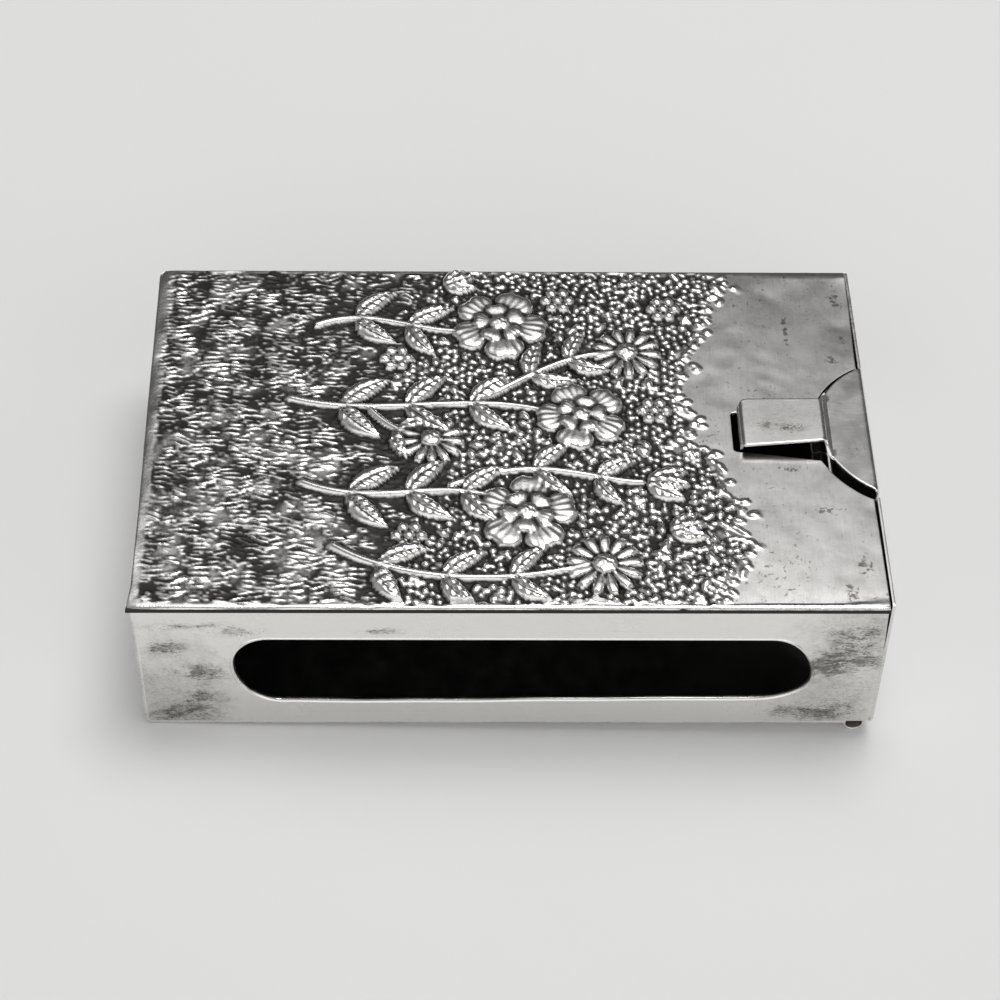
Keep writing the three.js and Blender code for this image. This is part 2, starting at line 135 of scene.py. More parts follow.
def length(name, description, millimetres):
    """A length that is shown in the scene's units."""
    value = millimetres * MM
    return FloatProperty(name=name, description=description, default=value, unit="LENGTH", precision=5)


def share(name, description, value):
    """A plain number from 0 to 1."""
    return FloatProperty(name=name, description=description, default=value, min=0, max=1, subtype="FACTOR")


def colour(name, description, value):
    """A linear colour."""
    return FloatVectorProperty(
        name=name, description=description, default=value, min=0, max=1, subtype="COLOR"
    )


def angle(name, description, degrees):
    """An angle that is shown in degrees."""
    value = math.radians(degrees)
    return FloatProperty(name=name, description=description, default=value, unit="ROTATION")


class CaseSheetSizes(PropertyGroup):
    """The silver sheet and its edges."""

    thickness: length("Sheet", "Thickness of the silver sheet", 0.5)
    arris: length("Arris", "Rounding of the cut edges", 0.09)
    corner: length("End corner", "Rounded upright edges of the closed end", 0.22)
    window_arris: length("Window arris", "Rounding of the window's edge", 0.34)
    window_burr: length("Window burr", "Rise of the metal pushed up round the window", 0.17)
    base_bend: length("Base bend", "Inside radius between base and closed end", 0.7)
    lip_round: length("Lip round", "Rounding of the panel's edge over the window", 0.5)
    edge_round: length("Edge round", "Rounding of the panel's other edges", 0.25)
    lip_crease: length("Lip crease", "Depth of the step at the crease inside the lip", 0.07)
    roll_width: length("Roll width", "Width of the plain rolled border", 1.4)
    roll_drop: length("Roll drop", "Fall of the rolled border to its edge", 0.16)
    rim_thickness: length("Rim", "Thickness of the turned-down rim", 0.3)
    window_length: length("Window length", "Length of the side window", 68.5)
    window_height: length("Window height", "Height of the side window", 11.3)
    window_inset: length("Window inset", "Window to the wall's lid end", 7.9)
    window_sill: length("Window sill", "Window to the underside of the base", 4.75)


class CaseTabSizes(PropertyGroup):
    """The lid's folded tab and the thumb notch under it."""

    thickness: length("Lid sheet", "Thickness of the lid's strip", 0.4)
    bend: length("Bend", "Inside radius of the lid's folds", 0.3)
    corner: length("Lid corner", "Rounded top corners of the lid", 0.3)
    radius: length("Flare radius", "Radius of the round flare", 11.7)
    centre: length("Flare centre", "Flare centre beyond the panel's edge", 5.95)
    lift: length("Lift", "Tab over the panel at the fold", 0.15)
    flare_rise: length("Flare rise", "Rise from the fold to the step", 0.3)
    step: length("Step", "Rise of the step to the tongue", 1.25)
    step_run: length("Step run", "Run of the step", 0.7)
    tongue_length: length("Tongue", "Step to the turned-down tip", 10.4)
    tongue_fall: length("Tongue fall", "Fall of the tongue to its tip", 0.6)
    root_width: length("Root width", "Width of the tongue at the step", 7)
    tip_width: length("Tip width", "Width of the tongue at its tip", 7.8)
    tip_corner: length("Tip corner", "Rounded far corner of the tip", 1.2)
    tip_bend: length("Tip bend", "Inside radius of the bend at the tongue's tip", 0.35)
    tip_arris: length("Tip arris", "Rounded near corner of the tip", 0.4)
    tip_gap: length("Tip gap", "Tip to the panel's face", 0.25)
    cut_width: length("Saw cut", "Width of the cuts beside the fold", 0.5)
    cut_depth: length("Cut depth", "Depth of the cuts beside the fold", 0.9)
    notch_gap: length("Notch gap", "Notch outside the flare's edge", 0.85)
    notch_shift: length("Notch shift", "Notch towards the plain side", -0.3)
    slot_mouth: length("Slot mouth", "Width of the slot at the notch", 9.4)
    slot_end: length("Slot end", "Width of the slot at its end", 6.4)
    slot_reach: length("Slot reach", "Slot end beyond the tongue's tip", 0.7)
    slot_corner: length("Slot corner", "Rounded corners of the slot's end", 0.5)


class CaseReliefSizes(PropertyGroup):
    """The chased flower meadow on the top panel."""

    grid_grass: length("Grass grid", "Spacing of the panel's mesh along the grass", 0.4)
    grid_blades: length("Blade grid", "Spacing of the panel's mesh across the grass", 0.145)
    grid_along: length("Grid along", "Spacing of the panel's mesh along the flowers", 0.21)
    grid_across: length("Grid across", "Spacing of the panel's mesh across the flowers", 0.2)
    grid_plain: length("Plain grid", "Spacing of the mesh in the plain field", 0.6)
    raster: length("Raster", "Spacing of the height raster", 0.1)
    tuft_rise: length("Tufts", "Height of the grass strokes", 0.16)
    bead_rise: length("Beads", "Height of the foliage beads", 0.27)
    flower_rise: length("Flowers", "Height of the flowers", 1.05)
    leaf_rise: length("Leaves", "Height of the leaves", 0.75)
    seed: IntProperty(name="Seed", description="Seed of the chased texture", default=11)


class CaseFinishes(PropertyGroup):
    """Colours and gloss."""

    silver: colour("Silver", "Bright silver", (0.86, 0.85, 0.83))
    # The tarnish colour also gives the painted shade and painted reflection in some veils
    tarnish_and_shade: colour("Tarnish", "Grey-brown tarnish", (0.16, 0.15, 0.135))
    # The oxide colour also gives the painted shade under the panel's edge over the window
    oxide_and_shade: colour("Oxide", "Dark hollows of the chasing", (0.045, 0.043, 0.04))
    inside: colour("Inside", "Dark inner faces", (0.1, 0.102, 0.095))
    wire: colour("Wire", "Hinge wire", (0.2, 0.19, 0.17))
    floor: colour("Floor", "Pale studio floor", (0.8, 0.8, 0.795))
    gloss: share("Roughness", "Roughness of polished silver", 0.2)
    satin: share("Satin", "Roughness of the plain field of the top", 0.2)


class CaseStageSizes(PropertyGroup):
    """Camera and light."""

    eye: FloatVectorProperty(
        name="Camera",
        description="Place of the camera",
        default=(-0.006553, -0.21403, 0.250385),
        subtype="TRANSLATION",
        unit="LENGTH",
    )
    pitch: angle("Pitch", "Camera below the horizon", 48.14)
    yaw: angle("Yaw", "Camera turned to the right", 1.519)
    roll: angle("Roll", "Camera turned about its own line", 1.25)
    lens: FloatProperty(
        name="Lens", description="Focal length", default=91.33, unit="CAMERA", subtype="DISTANCE_CAMERA"
    )
    floor_reach: length("Floor", "Half the floor's width", 3000)


def mm(group, name):
    """A size of a group in millimetres."""
    return getattr(group, name) / MM


# Plans: outlines in millimetres, drawn point by point


class Outline:
    """A closed outline with a point at least every step."""

    def __init__(self, step):
        self.step = step
        self.points = []

    def add(self, point):
        """Adds a point unless the outline is already there."""
        point = np.array(point, float)
        if not self.points or np.linalg.norm(point - self.points[-1]) > SAME_POINT:
            self.points.append(point)

    def to(self, *point):
        """Runs straight to a point."""
        if not self.points:
            self.add(point)
            return self
        start = self.points[-1]
        gap = np.array(point, float) - start
        count = max(1, math.ceil(np.linalg.norm(gap) / self.step))
        for i in range(1, count + 1):
            self.add(start + gap * i / count)
        return self

    def arc(self, centre, radius, first, last):
        """Runs straight to an arc's start and then round the arc."""
        count = max(4, math.ceil(abs(last - first) * radius / self.step))
        turns = np.linspace(first, last, count + 1)
        ring = np.stack([np.cos(turns), np.sin(turns)], axis=1) * radius + np.array(centre)
        self.to(*ring[0])
        for point in ring[1:]:
            self.add(point)
        return self

    def turn(self, corner, after, radius):
        """Runs towards a corner and rounds it on the way to the next point."""
        corner = np.array(corner, float)
        back = unit(self.points[-1] - corner)
        on = unit(np.array(after, float) - corner)
        reach = radius / math.tan(math.acos(np.clip(back @ on, -1, 1)) / 2)
        first, last = corner + back * reach, corner + on * reach
        self.to(*first)
        for t in np.linspace(0, 1, CORNER_STEPS + 1)[1:]:
            self.add(first * (1 - t) ** 2 + corner * 2 * t * (1 - t) + last * t * t)
        return self

    def loop(self):
        """The outline's points, with the first not repeated at the end."""
        points = np.array(self.points)
        if np.linalg.norm(points[0] - points[-1]) < SAME_POINT:
            points = points[:-1]
        return points


def unit(vectors):
    """Vectors at length 1."""
    size = np.linalg.norm(vectors, axis=-1, keepdims=True)
    return vectors / np.maximum(size, 1e-12)


def inset(loop, distance):
    """A closed loop moved to its left by a distance, which may differ from side to side.

    The side that starts at a point has that point's distance.
    """
    after = np.broadcast_to(distance, len(loop)).astype(float)[:, None]
    before = np.roll(after, 1, axis=0)
    goes = unit(np.roll(loop, -1, axis=0) - loop)
    left_after = np.stack([-goes[:, 1], goes[:, 0]], axis=1)
    left_before = np.roll(left_after, 1, axis=0)
    cross = (left_before[:, 0] * left_after[:, 1] - left_before[:, 1] * left_after[:, 0])[:, None]
    corner = np.abs(cross) > SHARP_TURN
    met = before * left_after[:, ::-1] * (1, -1) - after * left_before[:, ::-1] * (1, -1)
    met = met / np.where(corner, cross, 1)
    along = unit(left_before + left_after) * (before + after) / 2
    move = np.where(corner, met, along)
    most = LONGEST_MITRE * np.maximum(np.abs(before), np.abs(after))
    size = np.linalg.norm(move, axis=1, keepdims=True)
    return loop + move * np.minimum(1, most / np.maximum(size, 1e-9))


def inside(points, loop):
    """Which points lie within a closed loop."""
    found = np.zeros(len(points), bool)
    x, y = points[:, 0], points[:, 1]
    for a, b in zip(loop, np.roll(loop, -1, axis=0)):
        if a[1] != b[1]:
            crosses = (a[1] > y) != (b[1] > y)
            found ^= crosses & (x < (b[0] - a[0]) * (y - a[1]) / (b[1] - a[1]) + a[0])
    return found


def fill(loops, inner):
    """Triangles over the area within the first loop and outside the others."""
    points = np.concatenate([*loops, inner])
    edges, start = [], 0
    for loop in loops:
        edges += [(start + i, start + (i + 1) % len(loop)) for i in range(len(loop))]
        start += len(loop)
    found = delaunay_2d_cdt([Vector(p) for p in points.tolist()], edges, [], 1, 1e-7)
    if len(found[0]) != len(points):
        raise RuntimeError("An outline of the case crosses itself")
    faces = np.array(found[2])
    middles = points[faces].mean(axis=1)
    for hole in loops[1:]:
        faces = faces[~inside(middles, hole)]
        middles = points[faces].mean(axis=1)
    a, b, c = (points[faces[:, i]] for i in range(3))
    area = (b[:, 0] - a[:, 0]) * (c[:, 1] - a[:, 1]) - (c[:, 0] - a[:, 0]) * (b[:, 1] - a[:, 1])
    return points, np.where(area[:, None] > 0, faces, faces[:, ::-1])


# Sheet metal: a plan made into a closed sheet with rounded edges


def edge_rows(thickness, outer_round, inner_round, support=0.16, steps=4):
    """Rows of a sheet's edge, each as inset and depth, from the outer face to the inner one."""
    rows = [(outer_round + support, 0 * outer_round)]
    for a in np.linspace(0, math.pi / 2, steps + 1):
        rows.append((outer_round * (1 - math.sin(a)), outer_round * (1 - math.cos(a))))
    for a in np.linspace(0, math.pi / 2, steps):
        rows.append((inner_round * (1 - math.cos(a)), thickness - inner_round * (1 - math.sin(a))))
    rows.append((inner_round + support, thickness))
    return rows


def sheet(name, loops, inner, rows, place, inner_under=NO_POINTS):
    """A closed sheet: its outer face, the rows of its edge, and its inner face.

    place(points, depth) gives the points in space, in millimetres.
    """
    starts = np.cumsum([0] + [len(loop) for loop in loops])
    spans = list(zip(starts, starts[1:]))
    count = starts[-1]

    def at_points(value):
        return np.broadcast_to(value, count).astype(float)

    def ring(distance):
        distances = at_points(distance)
        return [inset(loop, distances[a:b]) for loop, (a, b) in zip(loops, spans)]

    def face(row, within):
        points, faces = fill(ring(row[0]), within)
        depth = np.full(len(points), float(np.max(row[1])))
        depth[:count] = at_points(row[1])
        return place(points, depth), faces

    top, top_faces = face(rows[0], inner)
    low, low_faces = face(rows[-1], inner_under)
    edge = [place(np.concatenate(ring(distance)), at_points(depth)) for distance, depth in rows[1:-1]]
    vertices = [top, *edge, low]
    first_of = np.cumsum([0] + [len(part) for part in vertices[:-1]])
    here = np.arange(count)
    along = np.concatenate([np.roll(np.arange(a, b), -1) for a, b in spans])
    quads = [
        np.stack([up + here, down + here, down + along, up + along], axis=1)
        for up, down in zip(first_of, first_of[1:])
    ]
    inner_faces = low_faces[:, ::-1] + first_of[-1]
    return make_mesh(name, np.concatenate(vertices), [top_faces, *quads, inner_faces])


def make_mesh(name, vertices, groups, smooth_angle=40):
    """An object from vertices in millimetres and groups of triangles or quads.

    The last group gets the second material.
    """
    faces = [face for group in groups for face in group.tolist()]
    mesh = bpy.data.meshes.new(name)
    mesh.from_pydata((vertices * MM).tolist(), [], faces)
    slots = np.zeros(len(faces), np.int32)
    slots[len(faces) - len(groups[-1]) :] = 1
    mesh.polygons.foreach_set("material_index", slots)
    mesh.shade_smooth()
    mesh.set_sharp_from_angle(angle=math.radians(smooth_angle))
    mesh.update()
    piece = bpy.data.objects.new(name, mesh)
    bpy.context.scene.collection.objects.link(piece)
    return piece


def settle(piece, node, body, slot, *materials):
    """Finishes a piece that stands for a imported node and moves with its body."""
    for finish in materials:
        piece.data.materials.append(finish)
    if len(materials) == 1:
        piece.data.polygons.foreach_set("material_index", np.zeros(len(piece.data.polygons), np.int32))
    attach(piece, body)
    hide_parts(node)


class BentStrip:
    """A strip bent along the corners of its outer face, which lies to the right of the path."""

    def __init__(self, corners, thickness, bends):
        corners = np.array(corners, float)
        rows = [(0.0, *corners[0], *self.outward(unit(corners[1] - corners[0])))]
        for i, bend in enumerate(bends, start=1):
            comes = unit(corners[i] - corners[i - 1])
            goes = unit(corners[i + 1] - corners[i])
            turn = math.atan2(comes[0] * goes[1] - comes[1] * goes[0], comes @ goes)
            radius = bend + thickness if turn > 0 else bend
            start = corners[i] - comes * radius * math.tan(abs(turn) / 2)
            towards = -self.outward(comes) * (1 if turn > 0 else -1)
            centre = start + towards * radius
            rows.append(self.row(rows[-1], start, self.outward(comes)))
            for part in np.linspace(0, 1, BEND_STEPS + 1)[1:]:
                c, s = math.cos(turn * part), math.sin(turn * part)
                spin = np.array([[c, -s], [s, c]])
                point = centre + spin @ (start - centre)
                rows.append(self.row(rows[-1], point, self.outward(spin @ comes)))
        rows.append(self.row(rows[-1], corners[-1], self.outward(unit(corners[-1] - corners[-2]))))
        self.s, self.x, self.z, self.nx, self.nz = np.array(rows).T

    @staticmethod
    def outward(direction):
        """The outer side of the strip where it runs in a direction."""
        return np.array([direction[1], -direction[0]])

    @staticmethod
    def row(last, point, normal):
        """A table row at a point that follows the last row."""
        return (last[0] + math.hypot(point[0] - last[1], point[1] - last[2]), *point, *normal)

    def place(self, points, depth):
        """Points of the flat pattern (across, along) in space."""
        x, z, nx, nz = (np.interp(points[:, 1], self.s, a) for a in (self.x, self.z, self.nx, self.nz))
        return np.stack([x - nx * depth, points[:, 0], z - nz * depth], axis=1)

    def rows_between(self, first, last, step):
        """Places along the strip that are close together in the bends."""
        even = np.arange(first, last, step)
        bends = self.s[(self.s > first) & (self.s < last)]
        every = np.unique(np.concatenate([even, bends]))
        return every[np.concatenate([[True], np.diff(every) > CLOSEST_ROWS])]


def crossed(rows, across, loop, margin):
    """Points where rows along a strip cross lines over it, clear of its outline."""
    grid = np.stack(np.meshgrid(across, rows), axis=-1).reshape(-1, 2)
    return grid[inside(grid, inset(loop, margin))]


# Relief: a seeded height raster for the top panel


def soft_step(low, high, value):
    """A smooth rise from 0 at one value to 1 at another."""
    t = np.clip((value - low) / (high - low), 0, 1)
    return t * t * (3 - 2 * t)


class Relief:
    """Heights over the top panel in millimetres, on an even raster."""

    def __init__(self, low, high, step, seed):
        self.step = step
        self.low = np.array(low)
        self.x = np.arange(low[0], high[0] + step, step)
        self.y = np.arange(low[1], high[1] + step, step)
        self.at_x, self.at_y = np.meshgrid(self.x, self.y, indexing="ij")
        self.random = np.random.default_rng(seed)

    def blank(self):
        """A raster of zeros."""
        return np.zeros((len(self.x), len(self.y)))

    def blur(self, raster, size):
        """A raster smoothed by a bell curve of that size."""
        pad = int(4 * size / self.step) + 1
        wide = np.pad(raster, pad, mode="edge")
        fx = np.fft.fftfreq(wide.shape[0])[:, None]
        fy = np.fft.rfftfreq(wide.shape[1])[None, :]
        keep = np.exp(-2 * (math.pi * size / self.step) ** 2 * (fx * fx + fy * fy))
        return np.fft.irfft2(np.fft.rfft2(wide) * keep, wide.shape)[pad:-pad, pad:-pad]

    def cloud(self, size):
        """A soft random raster with a spread of 1."""
        raster = self.blur(self.random.standard_normal((len(self.x), len(self.y))), size)
        return raster / raster.std()

    def stamp(self, raster, place, turn, reach, form):
        """Raises a form at a place, where it stands above what is there."""
        i, j = ((np.array(place) - self.low) / self.step).astype(int)
        n = int(reach / self.step) + 1
        rows = slice(max(i - n, 0), max(i + n + 1, 0))
        columns = slice(max(j - n, 0), max(j + n + 1, 0))
        dx = self.at_x[rows, columns] - place[0]
        dy = self.at_y[rows, columns] - place[1]
        c, s = math.cos(turn), math.sin(turn)
        raised = form(dx * c + dy * s, dy * c - dx * s)
        np.maximum(raster[rows, columns], raised, out=raster[rows, columns])

    def sample(self, raster, points):
        """The raster at points, read between its cells."""
        u = np.clip((points[:, 0] - self.low[0]) / self.step, 0, len(self.x) - 1.001)
        v = np.clip((points[:, 1] - self.low[1]) / self.step, 0, len(self.y) - 1.001)
        i, j = u.astype(int), v.astype(int)
        a, b = u - i, v - j
        near = raster[i, j] * (1 - b) + raster[i, j + 1] * b
        far = raster[i + 1, j] * (1 - b) + raster[i + 1, j + 1] * b
        return near * (1 - a) + far * a


def dome(long, width, rise, base=0.0):
    """An oval dome."""

    def form(u, v):
        q = (2 * u / long) ** 2 + (2 * v / width) ** 2
        return np.where(q < 1, base + rise * np.sqrt(np.clip(1 - q, 0, 1)), NOTHING)

    return form


def stroke(long, width, rise, base=0.0):
    """A chased stroke that is blunt at one end and runs out at the other."""

    def form(u, v):
        t = np.clip(u / long + 0.5, 0, 1)
        half = 0.5 * width * np.sqrt(np.clip(1 - (2 * t - 1) ** 4, 0, 1)) * (1 - 0.45 * t)
        q = (v / np.maximum(half, 1e-3)) ** 2
        height = base + rise * (1 - 0.35 * t) * np.sqrt(np.clip(1 - q, 0, 1))
        return np.where((np.abs(u) < long / 2) & (q < 1), height, NOTHING)

    return form


def rosette(petals, radius, rise, waist, base=0.0):
    """A round flower of cupped petals, seen from above."""

    def form(u, v):
        r, turn = np.hypot(u, v), np.arctan2(v, u)
        wave = np.abs(np.cos(petals * turn / 2))
        dimple = 1 - 0.06 * np.exp(-(((wave - 1) / 0.05) ** 2))
        q = r / (radius * (waist + (1 - waist) * wave**0.6) * dimple)
        cup = 0.5 + 0.5 * q**1.4
        crown = 0.72 + 0.28 * wave
        veins = 0.035 * np.cos(petals * 6 * turn) * soft_step(0.3, 0.6, q)
        brim = np.clip(1 - q**7, 0, 1) ** 0.5
        cleft = 0.42 * np.exp(-((wave * r / 0.42) ** 2)) * soft_step(0.15, 0.4, q)
        return np.where(q < 1, base + rise * (cup * crown * brim - cleft + veins), NOTHING)

    return form


def leaf(long, width, rise, bend, base=0.0):
    """A pointed leaf with a sunk midrib and side veins, from its stalk outwards."""

    def form(u, v):
        t = u / long
        v = v - bend * (t * (1 - t)) * 4
        ends = (t > 0) & (t < 1)
        t = np.clip(t, 0, 1)
        half = 0.5 * width * np.sin(math.pi * t**0.8) ** 0.85 + 1e-4
        q = np.abs(v) / half
        blade = np.sqrt(np.clip(1 - q**2.4, 0, 1)) * (0.55 + 0.45 * np.sin(math.pi * t) ** 0.5)
        rib = 0.45 * np.exp(-((v / 0.2) ** 2)) * (1 - 0.5 * t)
        veins = 0.1 * np.cos(2 * math.pi * (u - 0.8 * np.abs(v)) / 1.15) * soft_step(0.08, 0.3, q)
        return np.where(ends & (q < 1), base + rise * (blade - rib + veins), NOTHING)

    return form


def bezier(points, places):
    """Points along a curve with two handles, and the way it runs there."""
    a, b, c, d = (np.array(p, float) for p in points)
    t = places[:, None]
    at = a * (1 - t) ** 3 + 3 * b * t * (1 - t) ** 2 + 3 * c * t * t * (1 - t) + d * t**3
    way = 3 * (b - a) * (1 - t) ** 2 + 6 * (c - b) * t * (1 - t) + 3 * (d - c) * t * t
    return at, np.arctan2(way[:, 1], way[:, 0])


# The meadow, with the lid's end of the panel as its sky. Places are millimetres on the panel.
# A stem has its line, the length of its leaves, and where along it they grow in pairs.
STEMS = [
    (((-25, -9), (-15, -14), (-8, -7), (1, -13)), 7.8, (0.2, 0.47, 0.74)),
    (((-27, 5), (-15, 1), (-5, 7), (7, 2)), 7.8, (0.18, 0.42, 0.66)),
    (((-24, 18), (-16, 22), (-9, 14), (-2, 18)), 7.4, (0.2, 0.5)),
    (((-21, -19), (-13, -25), (0, -25), (9, -22)), 7.0, (0.2, 0.45, 0.7)),
    (((-17, 3), (-14, -1), (-12, -1), (-9, -2)), 5.4, (0.4,)),
    (((-3, 5), (4, 10), (8, 13), (14, 13)), 6.6, (0.3, 0.6)),
    (((-7, -9.5), (4, -4), (10, -9), (16, -9)), 6.6, (0.35, 0.7)),
]
ROSES = [((2, -14), 6.3, 0.2), ((9, 2), 5.9, 0.7), ((-1, 18), 6.4, 1.1)]
DAISIES = [((11, -22), 4.8, 0.1), ((-9.5, -2), 4.3, 0.4), ((15, 13), 4.6, 0.9)]
BUDS = [((16.5, -9), -0.1, 5.4), ((-8, 25), 0.4, 4.4), ((19, -17), 0.3, 4.6)]
BERRIES = [(6.5, 22.5), (18, 3), (-14, 12), (-12, -17.5), (20, 21)]
BERRY_COUNT = 7
LEAF_TURN = 0.72
LEAF_CURL = 0.55


def grass_edge(y):
    """Where the grass ends, along the panel."""
    return -11 + 4.5 * np.sin(0.17 * y + 2.2) + 1.4 * np.sin(0.61 * y)


def bush_edge(y):
    """Where the foliage ends and the plain sky begins."""
    lobes = 1.5 * np.abs(np.sin(0.42 * y + 0.7)) + 0.5 * np.sin(1.3 * y)
    return 23.0 + 3.2 * np.sin(0.14 * y - 2.4) + lobes


def grass(relief, rise):
    """Tufts of short strokes, one above the other, over ground trodden into dots."""
    raster = relief.blank() - GROUND_DEPTH
    random = relief.random
    spread = (2 - relief.low[0], -2 * relief.low[1])
    for place in relief.low + random.random((TRODDEN_DOTS, 2)) * spread:
        if place[0] < grass_edge(place[1]) + 1:
            top = 0.08 + rise * random.uniform(-0.2, 0.6)
            form = dome(random.uniform(0.5, 1.0), random.uniform(0.36, 0.56), top, -GROUND_DEPTH)
            relief.stamp(raster, place, random.normal(0, 0.6), 0.8, form)
    for x in np.arange(relief.low[0] + 1.8, 2, TUFT_ROWS):
        for y in np.arange(relief.low[1] + 0.8, -relief.low[1], TUFT_SPACING):
            place = np.array([x, y]) + random.uniform((-0.9, -1.5), (0.9, 1.5))
            if place[0] > grass_edge(place[1]) + random.normal(0, 1.2) or random.random() < 0.1:
                continue
            lean = random.normal(0, 0.22)
            blades = random.integers(2, 7)
            pitch = random.uniform(0.56, 0.84)
            height = rise * random.uniform(0.25, 1.35)
            for k in range(blades):
                out = k - (blades - 1) / 2
                spot = place + (random.uniform(-0.42, 0.42), out * pitch + random.uniform(-0.12, 0.12))
                top = height * random.uniform(0.4, 1.15)
                form = stroke(random.uniform(0.8, 2.0), random.uniform(0.36, 0.58), top)
                relief.stamp(raster, spot, lean + 0.07 * out + random.normal(0, 0.13), 1.2, form)
    return raster + 0.06 * np.clip(relief.cloud(1.1), -1.6, 2.2)


def foliage(relief, rise):
    """Beaded leaves in clumps, with larger smooth ones among them and at their edge."""
    raster = relief.blank() - GROUND_DEPTH
    random = relief.random

    def grows(place):
        return grass_edge(place[1]) - 1.5 < place[0] < bush_edge(place[1])

    for row, x in enumerate(np.arange(-20, 34, BEAD_ROWS)):
        offset = 0.5 + BEAD_SPACING / 2 * (row % 2)
        for y in np.arange(relief.low[1] + offset, -relief.low[1], BEAD_SPACING):
            place = np.array([x, y]) + random.uniform(-0.28, 0.28, 2)
            size = random.uniform(0.62, 1.02)
            form = dome(size * random.uniform(1.0, 1.25), size, rise * random.uniform(0.6, 1.15))
            if grows(place) and random.random() > 0.07:
                relief.stamp(raster, place, random.uniform(0, math.pi), 0.9, form)
    for _ in range(LARGE_LEAVES):
        place = random.uniform((-18, relief.low[1] + 1), (30, -relief.low[1] - 1))
        form = dome(random.uniform(1.3, 2.2), random.uniform(0.9, 1.2), rise * 1.5)
        if grows(place):
            relief.stamp(raster, place, random.uniform(0.9, 2.2), 1.4, form)
    for y in np.arange(relief.low[1] + 1, -relief.low[1] - 1, 0.7):
        place = np.array([bush_edge(y) + random.uniform(-0.4, 1.7), y + random.uniform(-0.3, 0.3)])
        form = dome(random.uniform(0.9, 1.5), random.uniform(0.7, 0.9), rise * random.uniform(0.7, 1.0))
        relief.stamp(raster, place, random.normal(0, 0.5), 1, form)
    return raster


def hammering(relief):
    """Shallow hammer marks and a slow wave over the plain field."""
    marks = relief.blank()
    random = relief.random
    for _ in range(HAMMER_MARKS):
        place = random.uniform((20, relief.low[1]), (44, -relief.low[1]))
        away = (relief.at_x - place[0]) ** 2 + (relief.at_y - place[1]) ** 2
        q = away / random.uniform(1.3, 2.4) ** 2
        marks = marks - random.uniform(0.006, 0.02) * np.clip(1 - q, 0, 1) ** 2
    return marks + 0.003 * relief.cloud(0.9) + 0.012 * relief.cloud(2.3)


def flowers(relief, flower_rise, leaf_rise):
    """Stems, leaves, berries and flowers, or a low value where there are none."""
    raster = relief.blank() + NOTHING
    for line, size, places in STEMS:
        at, way = bezier(line, np.array(places))
        for spot, turn, t in zip(at, way, places):
            for side in (1, -1):
                reach = size * (1 - 0.2 * t)
                form = leaf(reach, reach * 0.42, leaf_rise, side * LEAF_CURL, 0.2)
                relief.stamp(raster, spot, turn + side * LEAF_TURN, reach + 1, form)
        for spot, t in zip(bezier(line, np.linspace(0, 1, 160))[0], np.linspace(0, 1, 160)):
            relief.stamp(raster, spot, 0, 0.7, dome(1.2 - 0.3 * t, 1.2 - 0.3 * t, 0.55, 0.12))
    for centre in BERRIES:
        for k in range(BERRY_COUNT):
            spot = np.array(centre)
            if k:
                turn = 2 * math.pi * k / (BERRY_COUNT - 1)
                spot = spot + 1.45 * np.array([math.cos(turn), math.sin(turn)])
            relief.stamp(raster, spot, 0, 1.2, dome(1.55, 1.55, 0.55, 0.2))
    for place, turn, size in BUDS:
        for lean in (-0.45, 0.45, 0):
            rise = flower_rise * (0.66 if lean else 0.82)
            form = leaf(size, size * 0.55, rise, 0.3 * lean, 0.2)
            relief.stamp(raster, place, turn + lean, size + 0.5, form)
    for place, radius, turn in ROSES:
        outer = rosette(5, radius, flower_rise * 0.8, 0.66, 0.15)
        inner = rosette(5, radius * 0.56, flower_rise * 0.75, 0.7, 0.42)
        relief.stamp(raster, place, turn, radius + 1, outer)
        relief.stamp(raster, place, turn + 0.63, radius, inner)
        flower_eye(relief, raster, place, radius * 0.2, flower_rise * 1.1)
    for place, radius, turn in DAISIES:
        rays = rosette(13, radius, flower_rise * 0.62, 0.5, 0.15)
        relief.stamp(raster, place, turn, radius + 1, rays)
        flower_eye(relief, raster, place, radius * 0.3, flower_rise * 0.95)
    return raster


def flower_eye(relief, raster, place, radius, top):
    """A domed flower centre set with small beads."""
    relief.stamp(raster, place, 0, radius + 0.5, dome(2 * radius, 2 * radius, 0.25, top - 0.3))
    for k in range(int(9 * radius * radius) + 1):
        r, turn = 0.33 * math.sqrt(k), 2.4 * k
        if r < radius:
            spot = np.array(place) + r * np.array([math.cos(turn), math.sin(turn)])
            drop = 0.28 * (r / radius) ** 2
            relief.stamp(raster, spot, 0, 0.4, dome(0.56, 0.56, 0.22, top - 0.12 - drop))


